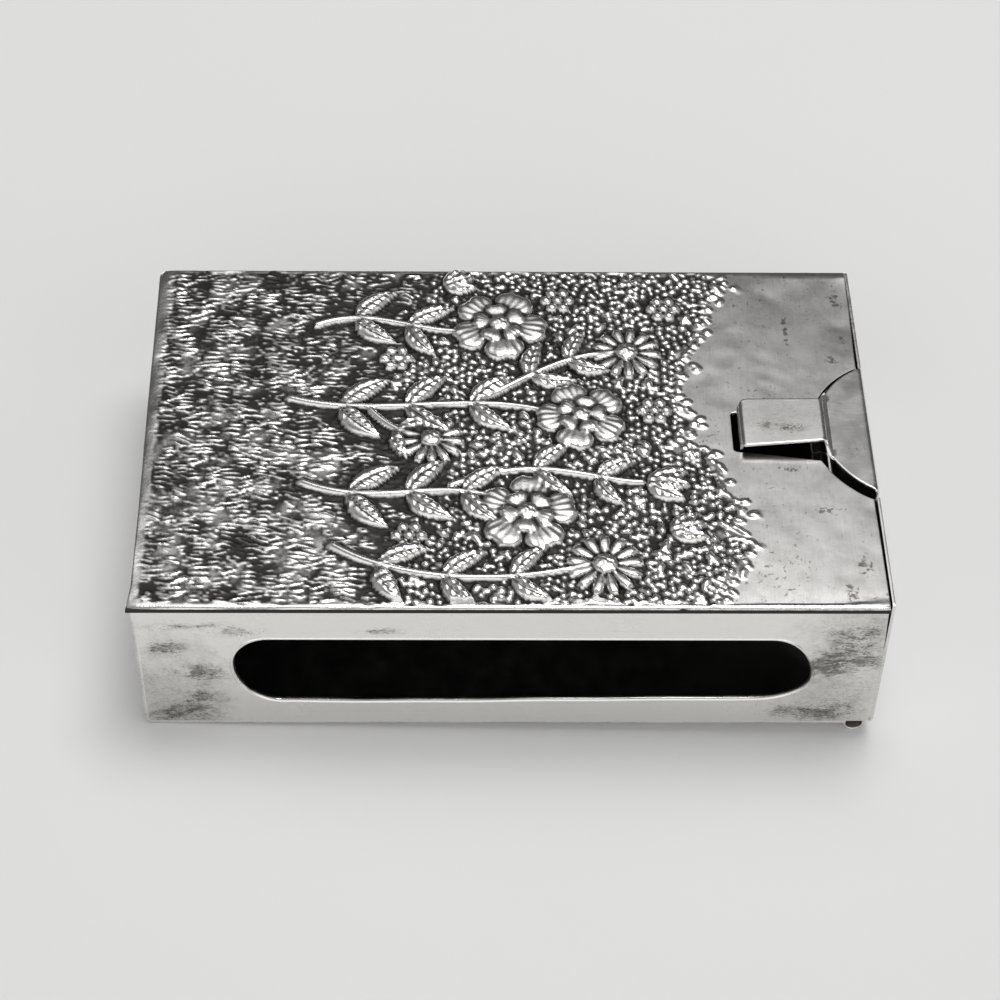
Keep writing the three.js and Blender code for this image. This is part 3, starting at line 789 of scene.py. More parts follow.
def meadow(relief, sizes):
    """The whole chased surface, its darkened hollows, and where it is worked at all."""
    x, y = relief.at_x, relief.at_y
    grass_share = 1 - soft_step(-1.2, 1.2, x - grass_edge(y) + 1.0 * relief.cloud(0.7))
    bush_share = 1 - soft_step(-0.5, 0.6, x - bush_edge(y) + 0.4 * relief.cloud(0.8))
    beads = foliage(relief, mm(sizes, "bead_rise"))
    bed = (np.minimum(beads, 0) + 0.12 * np.clip(relief.cloud(1.4), -1.5, 2)) * bush_share
    ground = grass(relief, mm(sizes, "tuft_rise")) * grass_share
    ground = ground + (bed + np.maximum(beads, 0)) * (1 - grass_share)
    forms = flowers(relief, mm(sizes, "flower_rise"), mm(sizes, "leaf_rise"))
    there = forms > NOTHING / 2
    moat = relief.blur(there.astype(float), 0.5)
    ground = ground * (1 - 0.5 * moat) - 0.16 * moat * bush_share
    surface = np.where(there, forms, ground)
    surface = relief.blur(surface, 0.07) + hammering(relief) * soft_step(1, 5, y - relief.low[1])
    near = relief.blur(surface, 0.45) - surface
    broad = relief.blur(surface, 1.6) - surface
    mottle = (0.1 + 0.08 * grass_share) * relief.cloud(0.9)
    # Hollows a little lighter at the near end and darker towards the far end
    darker_towards_far = np.interp(y, (-26, -8, 2, 24), (0.02, 0.02, 0, -0.15))
    hollows_and_shade = 0.36 + 0.22 * grass_share + near / 0.19 + broad / 0.65 + mottle - darker_towards_far
    worked = np.maximum(np.maximum(bush_share, grass_share), beads > 0.03)
    worked = relief.blur(worked, 0.3)
    return surface, np.clip(hollows_and_shade, 0, 1) * worked, worked


# Finishes


class Nodes:
    """Shader nodes, added and joined one by one."""

    def __init__(self, tree):
        self.tree = tree
        tree.nodes.clear()

    def node(self, kind, feeds=None, **settings):
        """A node with its settings, and values or other nodes' outputs on its sockets."""
        made = self.tree.nodes.new("ShaderNode" + kind)
        for key, value in settings.items():
            setattr(made, key, value)
        for key, value in (feeds or {}).items():
            self.feed(made.inputs[key], value)
        return made

    def feed(self, socket, value):
        """Puts a value on a socket, or joins an output to it."""
        if isinstance(value, bpy.types.NodeSocket):
            self.tree.links.new(value, socket)
        else:
            socket.default_value = value

    def math(self, operation, *values):
        """A sum on numbers or outputs."""
        return self.node("Math", dict(enumerate(values)), operation=operation).outputs[0]

    def times(self, first, second, plus=None):
        """A product, with something added to it or not."""
        if plus is None:
            return self.math("MULTIPLY", first, second)
        return self.math("MULTIPLY_ADD", first, second, plus)

    def ramp(self, value, low, high, first=0.0, last=1.0, shape="LINEAR"):
        """An even rise or fall from one value to another while an output goes from low to high."""
        feeds = {"Value": value, "From Min": low, "From Max": high, "To Min": first, "To Max": last}
        return self.node("MapRange", feeds, interpolation_type=shape).outputs[0]

    def rise(self, *limits):
        """The same with soft ends."""
        return self.ramp(*limits, shape="SMOOTHSTEP")


class Finish(Nodes):
    """A material with one shader, on places in millimetres."""

    def __init__(self, name):
        self.material = bpy.data.materials.new(name)
        self.material.use_nodes = True
        super().__init__(self.material.node_tree)
        self.shader = self.node("BsdfPrincipled")
        self.node("OutputMaterial", {0: self.shader.outputs[0]})
        place = self.node("TexCoord").outputs["Object"]
        self.place = self.vector("SCALE", {0: place, "Scale": 1 / MM}).outputs[0]

    def vector(self, operation, feeds):
        """A sum on vectors."""
        return self.node("VectorMath", feeds, operation=operation)

    def carried(self, name):
        """A value that the mesh carries at its points."""
        return self.node("Attribute", attribute_name=name).outputs["Fac"]

    def stretched(self, turn, scale):
        """The place turned and stretched, for marks with a direction."""
        feeds = {"Vector": self.place, "Rotation": turn, "Scale": scale}
        return self.node("Mapping", feeds).outputs[0]

    def noise(self, scale, detail=2.0, roughness=0.5, place=None, distortion=0.0):
        """Noise with so many waves to the millimetre."""
        feeds = {
            "Vector": place or self.place,
            "Scale": scale,
            "Detail": detail,
            "Roughness": roughness,
            "Distortion": distortion,
        }
        return self.node("TexNoise", feeds).outputs["Fac"]

    def mix(self, part, *colours):
        """A colour between two."""
        made = self.node("Mix", {0: part}, data_type="RGBA")
        for socket, value in zip(made.inputs[6:8], colours):
            self.feed(socket, value if isinstance(value, bpy.types.NodeSocket) else (*value, 1))
        return made.outputs[2]

    def hairlines(self):
        """Fine scratches in several directions."""
        lines = None
        for turn in ((0.2, 0.5, 0.1), (1.3, -0.4, 0.9), (0.4, 1.9, -0.7), (2.2, 0.3, 1.6)):
            marks = self.noise(1.0, 1.0, place=self.stretched(turn, (0.16, 5.5, 5.5)))
            marks = self.rise(marks, 0.68, 0.77)
            lines = marks if lines is None else self.math("MAXIMUM", lines, marks)
        return lines

    def smears(self, spots):
        """Soft ovals of tarnish and painted shade, each as centre and reach in millimetres."""
        total = None
        ragged = self.times(self.noise(0.3, 5.0, 0.65), 1.3, -0.65)
        for centre, reach in spots:
            away = self.vector("SUBTRACT", {0: self.place, 1: centre}).outputs[0]
            part = self.vector("DIVIDE", {0: away, 1: reach}).outputs[0]
            size = self.vector("LENGTH", {0: part}).outputs["Value"]
            oval = self.rise(self.math("ADD", size, ragged), 0.15, 1.0, 1.0, 0.0)
            total = oval if total is None else self.math("MAXIMUM", total, oval)
        return total

    def bump(self, height):
        """Relief of a height in millimetres."""
        made = self.node("Bump", {"Height": height, "Strength": 1.0, "Distance": MM})
        self.feed(self.shader.inputs["Normal"], made.outputs[0])

    def metal(self, tint, roughness):
        """The shader as a metal."""
        for key, value in (("Metallic", 1), ("Base Color", tint), ("Roughness", roughness)):
            self.feed(self.shader.inputs[key], value)
        return self.material


def polished_silver(name, finishes, spots, veils_and_shade, wave):
    """Bright hand-worked sheet with scratches, smudges and tarnish in ragged patches; some veils are
    painted shade and painted reflection.
    """
    made = Finish(name)
    smudge = made.noise(0.16, 5.0, 0.6)
    lines = made.hairlines()
    dragged = made.stretched((0.05, 0.14, 0.03), (0.55, 0.9, 1.3))
    crawl = made.math("SUBTRACT", made.noise(0.8, 3.0, 0.55, dragged, 1.8), 0.5)
    veins = made.rise(made.math("ABSOLUTE", crawl), 0.0, 0.03, 0.9, 0.0)
    specks = made.rise(made.noise(2.8, 4.0, 0.7, dragged, 0.9), 0.54, 0.64)
    cloud = made.noise(0.6, 6.0, 0.72, dragged, 0.9)
    # Some veils are painted shade and painted reflection, the others tarnish; all take the tarnish colour
    mask, veil_and_shade = made.smears(spots), made.smears(veils_and_shade)
    stain = made.rise(made.times(mask, 0.2, cloud), 0.55, 0.8)
    fine = made.math("MAXIMUM", veins, specks)
    strength = made.times(mask, 0.9, made.times(veil_and_shade, 0.35, 0.08))
    tarnish_and_shade = made.times(made.times(fine, 0.62, made.times(stain, 0.46)), strength)
    tarnish_and_shade = made.times(veil_and_shade, made.rise(smudge, 0.25, 0.7, 0.13, 0.45), tarnish_and_shade)
    tarnish_and_shade = made.math("MAXIMUM", tarnish_and_shade, made.times(lines, 0.06))
    base = made.mix(tarnish_and_shade, finishes.silver, finishes.tarnish_and_shade)
    gloss = made.rise(smudge, 0.3, 0.75, finishes.gloss - 0.05, finishes.gloss + 0.1)
    gloss = made.times(lines, 0.04, made.times(tarnish_and_shade, 0.25, gloss))
    height = made.times(made.noise(0.9, 3.0), 0.0035, made.times(made.noise(0.13, 2.0), wave))
    made.bump(made.times(tarnish_and_shade, -0.003, made.times(lines, -0.0008, height)))
    return made.metal(base, gloss)


def chased_silver(name, finishes, stains):
    """The worked top: dark oxide in the hollows and painted shade under the edge over the window, rubbed
    bright on what stands up.
    """
    made = Finish(name)
    hollows_and_shade, worked = made.carried("hollows_and_shade"), made.carried("worked")
    grime = made.noise(1.3, 5.0, 0.65)
    flecks = made.noise(1.7, 5.0, 0.62, distortion=0.4)
    patches = made.noise(0.11, 3.0, 0.6)
    # The carried hollows also hold the painted shade under the lip's round; both take the oxide colour
    depth = made.times(made.math("SUBTRACT", grime, 0.5), 0.8, hollows_and_shade)
    oxide_and_shade = made.times(made.rise(depth, 0.02, 0.95), made.rise(hollows_and_shade, 0.0, 0.1))
    field = made.math("SUBTRACT", 1.0, worked)
    mask = made.math("MAXIMUM", made.smears(stains), made.rise(patches, 0.45, 0.7, 0.0, 0.35))
    spots = made.times(made.rise(made.times(mask, 0.17, flecks), 0.63, 0.73), 0.72)
    film = made.rise(made.noise(0.35, 7.0, 0.72), 0.38, 0.7, 0.0, 0.22)
    brushed = made.noise(1.0, 3.0, 0.6, place=made.stretched((0, 0, 0), (6.0, 0.22, 1.0)))
    shade = made.rise(brushed, 0.35, 0.75, 0.0, 0.08)
    spots = made.math("ADD", made.math("ADD", spots, film), shade)
    spots = made.times(spots, made.rise(field, 0.2, 0.9, 0.6, 1.0))
    base = made.mix(spots, finishes.silver, finishes.tarnish_and_shade)
    base = made.mix(oxide_and_shade, base, finishes.oxide_and_shade)
    gloss = made.rise(field, 0.2, 0.9, finishes.gloss + 0.04, finishes.satin)
    gloss = made.times(oxide_and_shade, 0.3, gloss)
    rubbed = made.times(made.noise(2.3, 4.0, 0.62), made.rise(field, 0.2, 0.9, 0.024, 0.0015))
    made.bump(made.math("ADD", made.times(brushed, 0.0012), rubbed))
    return made.metal(base, gloss)


def dark_inner_silver(name, finishes):
    """Inner faces, dark grey-black."""
    made = Finish(name)
    film = made.noise(0.35, 5.0, 0.65)
    base = made.mix(made.rise(film, 0.35, 0.75, 0.0, 0.12), finishes.inside, finishes.tarnish_and_shade)
    made.bump(made.times(made.noise(0.8, 4.0), 0.01))
    return made.metal(base, made.rise(film, 0.3, 0.8, 0.42, 0.6))


def drawn_metal(name, tint, finishes, gloss):
    """Drawn tube or wire, with fine lines along it and dirt in the joints."""
    made = Finish(name)
    drawn = made.noise(1.0, 2.0, place=made.stretched((0, 0, 0), (6.0, 0.25, 6.0)))
    dirt = made.rise(made.noise(0.9, 5.0, 0.7), 0.5, 0.72, 0.0, 0.7)
    base = made.mix(dirt, tint, finishes.tarnish_and_shade)
    made.bump(made.times(drawn, 0.008))
    return made.metal(base, made.rise(dirt, 0.0, 0.7, gloss, gloss + 0.25))


def material(name, make, *details):
    """A material by name, made the first time that it is asked for."""
    return bpy.data.materials.get(name) or make(name, *details)


def lining(finishes):
    """The finish of all inner faces."""
    return material("Dark inner silver", dark_inner_silver, finishes)


def polish(piece, node, body, finishes, place, smears, veils_and_shade, wave=0.03):
    """Settles a plain sheet piece that is polished outside and dark inside."""
    outer = material("Polished silver, " + place, polished_silver, finishes, smears, veils_and_shade, wave)
    settle(piece, node, body, "polished_silver", outer, lining(finishes))


def tarnish_and_shade_on(across, level, *rows):
    """Places and reaches of tarnish and painted shade on a face across the x, y or z axis.

    A row gives the place along the other two axes, then the reach along them.
    """
    axis = "xyz".index(across)
    return [
        ((*row[:axis], level, *row[axis:2]), (*row[2 : 2 + axis], THROUGH, *row[2 + axis :]))
        for row in rows
    ]


# Pieces


def notch_sizes(tab):
    """Notch circle's centre, its radius, slot end and slot half widths, on the panel's plan."""
    centre = (PANEL_HIGH[0] + mm(tab, "centre"), mm(tab, "notch_shift"))
    radius = mm(tab, "radius") + mm(tab, "notch_gap")
    end = LID_LOW[0] - mm(tab, "slot_reach")
    return centre, radius, end, mm(tab, "slot_mouth") / 2, mm(tab, "slot_end") / 2


def panel_plan(tab, step):
    """The panel's outline with the thumb notch in its lid edge."""
    left, right, half = PANEL_LOW[0], PANEL_HIGH[0], PANEL_HIGH[1]
    centre, radius, end, mouth_half, end_half = notch_sizes(tab)
    at_edge = math.acos((centre[0] - right) / radius)
    at_slot = math.asin(mouth_half / radius)
    mouth = centre[0] - radius * math.cos(at_slot)
    middle, run = centre[1], 1
    line = Outline(step)
    line.add((left, -half))
    line.add((left + run, -half))
    line.to(right - run, -half)
    line.add((right, -half))
    line.add((right, -half + run))
    line.arc(centre, radius, math.pi + at_edge, math.pi + at_slot)
    line.turn((end, middle - end_half), (end, middle + end_half), mm(tab, "slot_corner"))
    line.turn((end, middle + end_half), (mouth, middle + mouth_half), mm(tab, "slot_corner"))
    line.arc(centre, radius, math.pi - at_slot, math.pi - at_edge)
    line.to(right, half - run)
    line.add((right, half))
    line.add((right - run, half))
    line.arc((left + FAR_CORNER, half - FAR_CORNER), FAR_CORNER, math.pi / 2, math.pi)
    line.to(left, -half + run)
    return line.loop()


def clear_of_edges(points, tab):
    """How far points on the panel are from its nearest edge."""
    centre, radius, end, mouth_half, end_half = notch_sizes(tab)
    x, y = points[:, 0], np.abs(points[:, 1] - centre[1])
    mouth = centre[0] - math.sqrt(radius**2 - mouth_half**2)
    slot_half = end_half + (mouth_half - end_half) * (x - end) / (mouth - end)
    slot = np.maximum(y - slot_half, end - x)
    bite = np.hypot(x - centre[0], y) - radius
    outer = np.minimum(x - PANEL_LOW[0], PANEL_HIGH[1] - np.abs(points[:, 1]))
    return np.minimum(np.minimum(outer, PANEL_HIGH[0] - x), np.minimum(slot, bite))


class CASE_OT_chased_panel(Operator):
    """Makes the chased top panel with its turned-down edge and thumb notch."""

    bl_idname = "case.chased_panel"
    bl_label = "Chased top panel"

    def border(self, relief, sheet_sizes, surface, hollows_and_shade):
        """Fades the chasing into the plain border and its edges."""
        left, half = PANEL_LOW[0], PANEL_HIGH[1]
        from_left, from_near, from_far = relief.at_x - left, relief.at_y + half, half - relief.at_y
        border = mm(sheet_sizes, "roll_width")
        shown = soft_step(border - 0.5, border + 0.2, from_left + 0.2 * relief.cloud(0.8))
        shown = shown * soft_step(0.7, 1.2, from_near + 0.2 * relief.cloud(0.6))
        shown = shown * soft_step(0.3, 0.7, from_far + 0.1 * relief.cloud(0.6))
        fall = mm(sheet_sizes, "roll_drop") * np.clip(1 - from_left / border, 0, 1) ** 1.5
        fall = fall + FAR_DROP * np.clip(1 - from_far / FAR_BORDER, 0, 1)
        fall = fall + LIP_DROP * np.clip(1 - from_near / LIP_WIDTH, 0, 1)
        from_crease = from_near - LIP_WIDTH - 0.04 * relief.cloud(3.0)
        creased = soft_step(-26, 26, relief.at_x + 8 * relief.cloud(2.0))
        crease = np.exp(-((from_crease / CREASE_HALF) ** 2)) * creased
        sunk = soft_step(-CREASE_HALF, CREASE_HALF, from_crease)
        sunk = sunk * np.exp(-np.maximum(from_crease, 0) / 3) * creased
        wander = 0.03 * relief.cloud(1.6) * np.exp(-np.minimum(from_left, from_near) / 0.9)
        wander = wander * (1 - soft_step(0, 25, relief.at_x))
        surface = surface * shown - fall - mm(sheet_sizes, "lip_crease") * sunk + wander
        return surface, hollows_and_shade * shown + 0.7 * crease

    def bow(self, points):
        """How far the hand-cut ends of the panel stray from square."""
        x, y = points[:, 0], points[:, 1]
        closed_end = np.interp(y, (-28.5, -25, -12, 0, 14, 27), (0, 0.3, 0.2, 0, -0.2, -0.37))
        lid_end = np.interp(y, (-28.5, -22, -10, 8, 14, 18, 23), (0.12, 0.1, 0, 0.02, 0.1, 0.22, 0.31))
        fade = 1 - soft_step(PANEL_LOW[0] + 0.5, PANEL_LOW[0] + 9, x)
        return closed_end * fade + lid_end * soft_step(30, 42, x)

    def edges(self, loop, sizes):
        """Rows of the panel's edge: rolled on three sides, a plain cut at the lid and the notch."""
        left, half, top = PANEL_LOW[0], PANEL_HIGH[1], PANEL_TOP
        near = loop[:, 1] + half < ON_EDGE
        corner = (loop[:, 0] - left < FAR_CORNER) & (loop[:, 1] > half - FAR_CORNER)
        rolled = near | corner | (loop[:, 0] - left < ON_EDGE) | (half - loop[:, 1] < ON_EDGE)
        lip, thickness = mm(sizes, "lip_round"), mm(sizes, "thickness")
        arris, rim = mm(sizes, "arris"), mm(sizes, "rim_thickness")
        side, steps = mm(sizes, "edge_round"), 7
        at_point = np.where(near, lip, np.where(rolled, side, arris))
        near_side, rolled_side = (which & np.roll(which, -1) for which in (near, rolled))
        at_side = np.where(near_side, lip, np.where(rolled_side, side, arris))
        across, down = (edge_rows(thickness, r, INNER_EDGE, 0.12, steps) for r in (at_side, at_point))
        rows = [(a[0], d[1]) for a, d in zip(across[: steps + 2], down)]
        drop = np.where(rolled, top - PANEL_LOW[2], thickness)
        rows += [(0.0, drop - FREE_EDGE), (FREE_EDGE, drop)]
        return rows + [(rim, drop), (rim + ON_EDGE, thickness)]

    def grid(self, sizes, tab, lip):
        """Points of the grass, the flowers and the plain field, and rows along the crease of the lip."""
        left, right, half = PANEL_LOW[0], PANEL_HIGH[0], PANEL_HIGH[1]
        plain = mm(sizes, "grid_plain")
        bands = [
            (left + 0.2, GRASS_END, mm(sizes, "grid_grass"), mm(sizes, "grid_blades")),
            (GRASS_END + 0.1, FIELD_START, mm(sizes, "grid_along"), mm(sizes, "grid_across")),
            (FIELD_START + 0.3, right, plain, plain),
        ]
        inner = []
        for first, last, along, over in bands:
            xs, ys = np.arange(first, last, along), np.arange(-half + 0.2, half, over)
            grid = np.stack(np.meshgrid(xs, ys, indexing="ij"), axis=-1).reshape(-1, 2)
            inner.append(grid[clear_of_edges(grid, tab) > lip + 0.12 + 0.5 * over])
        creased = np.arange(CREASE_START, right - 1, 0.4)
        for beyond in CREASE_ROWS:
            inner.append(np.column_stack([creased, np.full(len(creased), LIP_WIDTH + beyond - half)]))
        return np.concatenate(inner)

    def execute(self, context):
        sheet_sizes, tab = context.scene.case_sheet, context.scene.case_tab
        sizes, finishes = context.scene.case_relief, context.scene.case_finishes
        half, top = PANEL_HIGH[1], PANEL_TOP
        relief = Relief(PANEL_LOW[:2], PANEL_HIGH[:2], mm(sizes, "raster"), sizes.seed)
        surface, hollows_and_shade, worked = meadow(relief, sizes)
        surface, hollows_and_shade = self.border(relief, sheet_sizes, surface, hollows_and_shade)
        lip = mm(sheet_sizes, "lip_round")

        def place(points, depth):
            lift = relief.sample(surface, points) * np.clip(1 - depth / 0.3, 0, 1)
            return np.column_stack([points[:, 0] + self.bow(points), points[:, 1], top + lift - depth])

        loop = panel_plan(tab, 0.5)
        rows = self.edges(loop, sheet_sizes)
        piece = sheet("chased_panel", [loop], self.grid(sizes, tab, lip), rows, place)
        points = np.zeros(len(piece.data.vertices) * 3)
        piece.data.vertices.foreach_get("co", points)
        points = points.reshape(-1, 3) / MM
        # Below its round, the edge over the window gets painted shade, as dark as the hollows
        down = top - points[:, 2]
        painted_shade_under_lip = soft_step(0.16, 0.28, down) * (points[:, 1] < -half + 0.31)
        on_face = down < 0.45
        tones = {"hollows_and_shade": relief.sample(hollows_and_shade, points) * on_face + painted_shade_under_lip}
        tones["worked"] = relief.sample(worked, points) * on_face
        for name, values in tones.items():
            layer = piece.data.attributes.new(name, "FLOAT", "POINT")
            layer.data.foreach_set("value", values.astype(np.float32))
        stains = tarnish_and_shade_on(
            "z",
            top,
            (42.3, 23.0, 1.4, 3.0),
            (42.6, 16.5, 1.1, 4.0),
            (40.8, 12.2, 1.8, 1.5),
            (35.4, 17.5, 0.6, 6.0),
            (32.0, 5.0, 2.0, 1.1),
            (33.6, -6.6, 2.2, 1.0),
            (41.6, -21.5, 1.3, 3.0),
            (39.6, -26.0, 1.2, 1.8),
            (38.0, -13.0, 3.0, 1.4),
        )
        outer = material("Chased silver", chased_silver, finishes, stains)
        settle(piece, "top_panel", "case", "chased_silver", outer, lining(finishes))
        return {"FINISHED"}


class CASE_OT_long_walls(Operator):
    """Makes the front wall with its window and the plain back wall."""

    bl_idname = "case.long_walls"
    bl_label = "Long walls"

    def outline(self, flip, bend):
        """A long wall's outline, seen from outside, which nears the lid below its middle."""
        left, low, high = FRONT_LOW[0], FRONT_LOW[2], FRONT_HIGH[2]
        end, stray, foot, knee = FRONT_HIGH[0], 0.1, low + 1.2, 15.5
        line = Outline(0.5)
        line.arc((left + bend, low + bend), bend, math.pi, 1.5 * math.pi)
        line.to(end - stray, low).to(end + stray, foot).to(end + stray, knee).to(PANEL_HIGH[0], high)
        loop = line.to(left, high).to(left, low + bend).loop()
        return (loop * (-1, 1))[::-1] if flip else loop

    def window(self, sizes):
        """The hand-cut window, clockwise, with a different round at each corner."""
        right = PANEL_HIGH[0] - mm(sizes, "window_inset")
        left = right - mm(sizes, "window_length")
        low = BASE_LOW[2] + mm(sizes, "window_sill")
        high = low + mm(sizes, "window_height")
        split_left, split_right = high - 4.7, high - 7.4
        # A corner: the window's end, its run along the wall, its level, where its round starts, two turns
        corners = [
            (right, 5.2, high, split_right, 90, 0),
            (right, 6.4, low, split_right, 0, -90),
            (left, -5.6, low, split_left, -90, 0),
            (left, -4.2, high, split_left, 0, 90),
        ]
        line = Outline(0.4)
        for end, along, level, split, first, last in corners:
            for turn in np.radians(np.linspace(first, last, 19)):
                across, up = math.cos(turn), math.sin(turn)
                line.to(end - along * (1 - across), split + (level - split) * abs(up))
        loop = line.loop()
        x, z = loop[:, 0], loop[:, 1]
        lower = 1 - soft_step(low, high, z)
        loop[:, 1] += 0.06 * np.sin(0.16 * x + 0.8) + 0.04 * np.sin(0.43 * x)
        loop[:, 1] += lower * (0.5 * soft_step(-10, 30, x) - 0.1)
        return loop

    def rim(self, outline, window, sizes):
        """Rows of the front wall's edges: a plain cut round the outside, a raised rim round the window."""
        soldered = (outline[:, 1] < FRONT_HIGH[2] - 0.1) & (outline[:, 0] < PANEL_HIGH[0] - 1)
        edge = np.where(soldered, SOLDERED_EDGE, FREE_EDGE)
        edge = np.concatenate([edge, np.full(len(window), mm(sizes, "window_arris"))])
        burr = np.concatenate([np.zeros(len(outline)), np.full(len(window), mm(sizes, "window_burr"))])
        run = np.where(burr > 0, burr, INNER_EDGE)
        plain = edge_rows(mm(sizes, "thickness"), edge, INNER_EDGE)
        rows = [(plain[0][0] + burr, 0 * burr)]
        for out, up in ((1.15, 0.06), (0.8, 0.45), (0.42, 0.9), (0.0, 1.0)):
            rows.append((edge + out * run, -up * burr))
        for (across, down), up in zip(plain[2:5], (0.85, 0.55, 0.25)):
            rows.append((across, down - up * burr))
        return rows + plain[5:]

    def front(self, sizes, finishes, bend):
        """The wall with the window."""
        face = FRONT_LOW[1]
        outline, window = self.outline(False, bend), self.window(sizes)

        def place(points, depth):
            return np.column_stack([points[:, 0], face + depth, points[:, 1]])

        piece = sheet("window_wall", [outline, window], NO_POINTS, self.rim(outline, window, sizes), place)
        smears = tarnish_and_shade_on(
            "y",
            face,
            (-37.0, 20.7, 7.0, 1.1),
            (-31.5, 19.6, 5.5, 1.5),
            (-40.5, 16.6, 3.5, 1.8),
            (-37.0, 12.0, 6.0, 3.0),
            (-36.5, 7.2, 5.0, 2.0),
            (-39.0, 4.4, 7.0, 3.0),
            (40.0, 19.2, 5.0, 2.4),
            (41.0, 15.0, 5.0, 4.6),
            (37.0, 13.5, 5.5, 3.6),
            (36.5, 4.4, 8.0, 2.8),
            (-15.5, 19.8, 4.0, 1.2),
        )
        # The veil at the lid end is tarnish and painted reflection of darker surroundings; the one at the
        # closed end is tarnish
        veils_and_shade = tarnish_and_shade_on("y", face, (42.0, 12.0, 14.0, 22.0), (-40.0, 8.0, 9.0, 15.0))
        polish(piece, "front_wall", "case", finishes, "window side", smears, veils_and_shade)

    def back(self, sizes, finishes, bend):
        """The plain wall."""
        face = -FRONT_LOW[1]
        rows = edge_rows(mm(sizes, "thickness"), mm(sizes, "arris"), INNER_EDGE)

        def place(points, depth):
            return np.column_stack([-points[:, 0], face - depth, points[:, 1]])

        piece = sheet("plain_wall", [self.outline(True, bend)], NO_POINTS, rows, place)
        smears = tarnish_and_shade_on("y", face, (-30.0, 18.0, 9.0, 4.0), (25.0, 6.0, 12.0, 4.0))
        veils_and_shade = tarnish_and_shade_on("y", face, (30.0, 12.0, 20.0, 14.0))
        polish(piece, "back_wall", "case", finishes, "plain side", smears, veils_and_shade)

    def execute(self, context):
        sizes, finishes = context.scene.case_sheet, context.scene.case_finishes
        bend = mm(sizes, "base_bend") + BEND_PLAY
        self.front(sizes, finishes, bend)
        self.back(sizes, finishes, bend)
        return {"FINISHED"}


class CASE_OT_base_sheet(Operator):
    """Makes the bent sheet that is the base and the closed end."""

    bl_idname = "case.base_sheet"
    bl_label = "Base and closed end"

    def execute(self, context):
        sizes, finishes = context.scene.case_sheet, context.scene.case_finishes
        thickness = mm(sizes, "thickness")
        corners = [
            (BASE_LOW[0], BASE_HIGH[2]),
            (BASE_LOW[0], BASE_LOW[2]),
            (BASE_HIGH[0], BASE_LOW[2]),
        ]
        strip = BentStrip(corners, thickness, [mm(sizes, "base_bend")])
        half, reach = BASE_HIGH[1], strip.s[-1]
        loop = Outline(0.5).to(-half, 0).to(half, 0).to(half, reach).to(-half, reach).to(-half, 0).loop()
        upright = strip.s[np.argmax(strip.nz < -0.01)]
        on_side = np.abs(loop[:, 0]) > half - ON_EDGE
        end_edge = on_side * (1 - soft_step(upright - 1, upright + 1, loop[:, 1]))
        rounding = mm(sizes, "arris") + (mm(sizes, "corner") - mm(sizes, "arris")) * end_edge
        inner = crossed(strip.rows_between(0.8, reach - 0.8, 6), np.linspace(-half, half, 24), loop, 0.7)
        rows = edge_rows(thickness, rounding, SOLDERED_EDGE)
        piece = sheet("base_sheet", [loop], inner, rows, strip.place, inner)
        smears = tarnish_and_shade_on("x", BASE_LOW[0], (-18.0, 6.0, 10.0, 5.0), (20.0, 18.0, 8.0, 5.0))
        smears += tarnish_and_shade_on("z", BASE_LOW[2], (10.0, 5.0, 26.0, 14.0))
        veils_and_shade = tarnish_and_shade_on("z", BASE_LOW[2], (-20.0, 0.0, 30.0, 25.0))
        # The first veil darkens the near upright edge of the closed end; the second is painted contact
        # shadow along the near bottom edge
        veils_and_shade += [
            ((BASE_LOW[0], -half, 13.0), (0.5, 1.0, 19.0)),
            ((0.0, -half, BASE_LOW[2]), (80.0, 1.0, 0.45)),
        ]
        polish(piece, "base_and_end", "case", finishes, "base", smears, veils_and_shade)
        return {"FINISHED"}


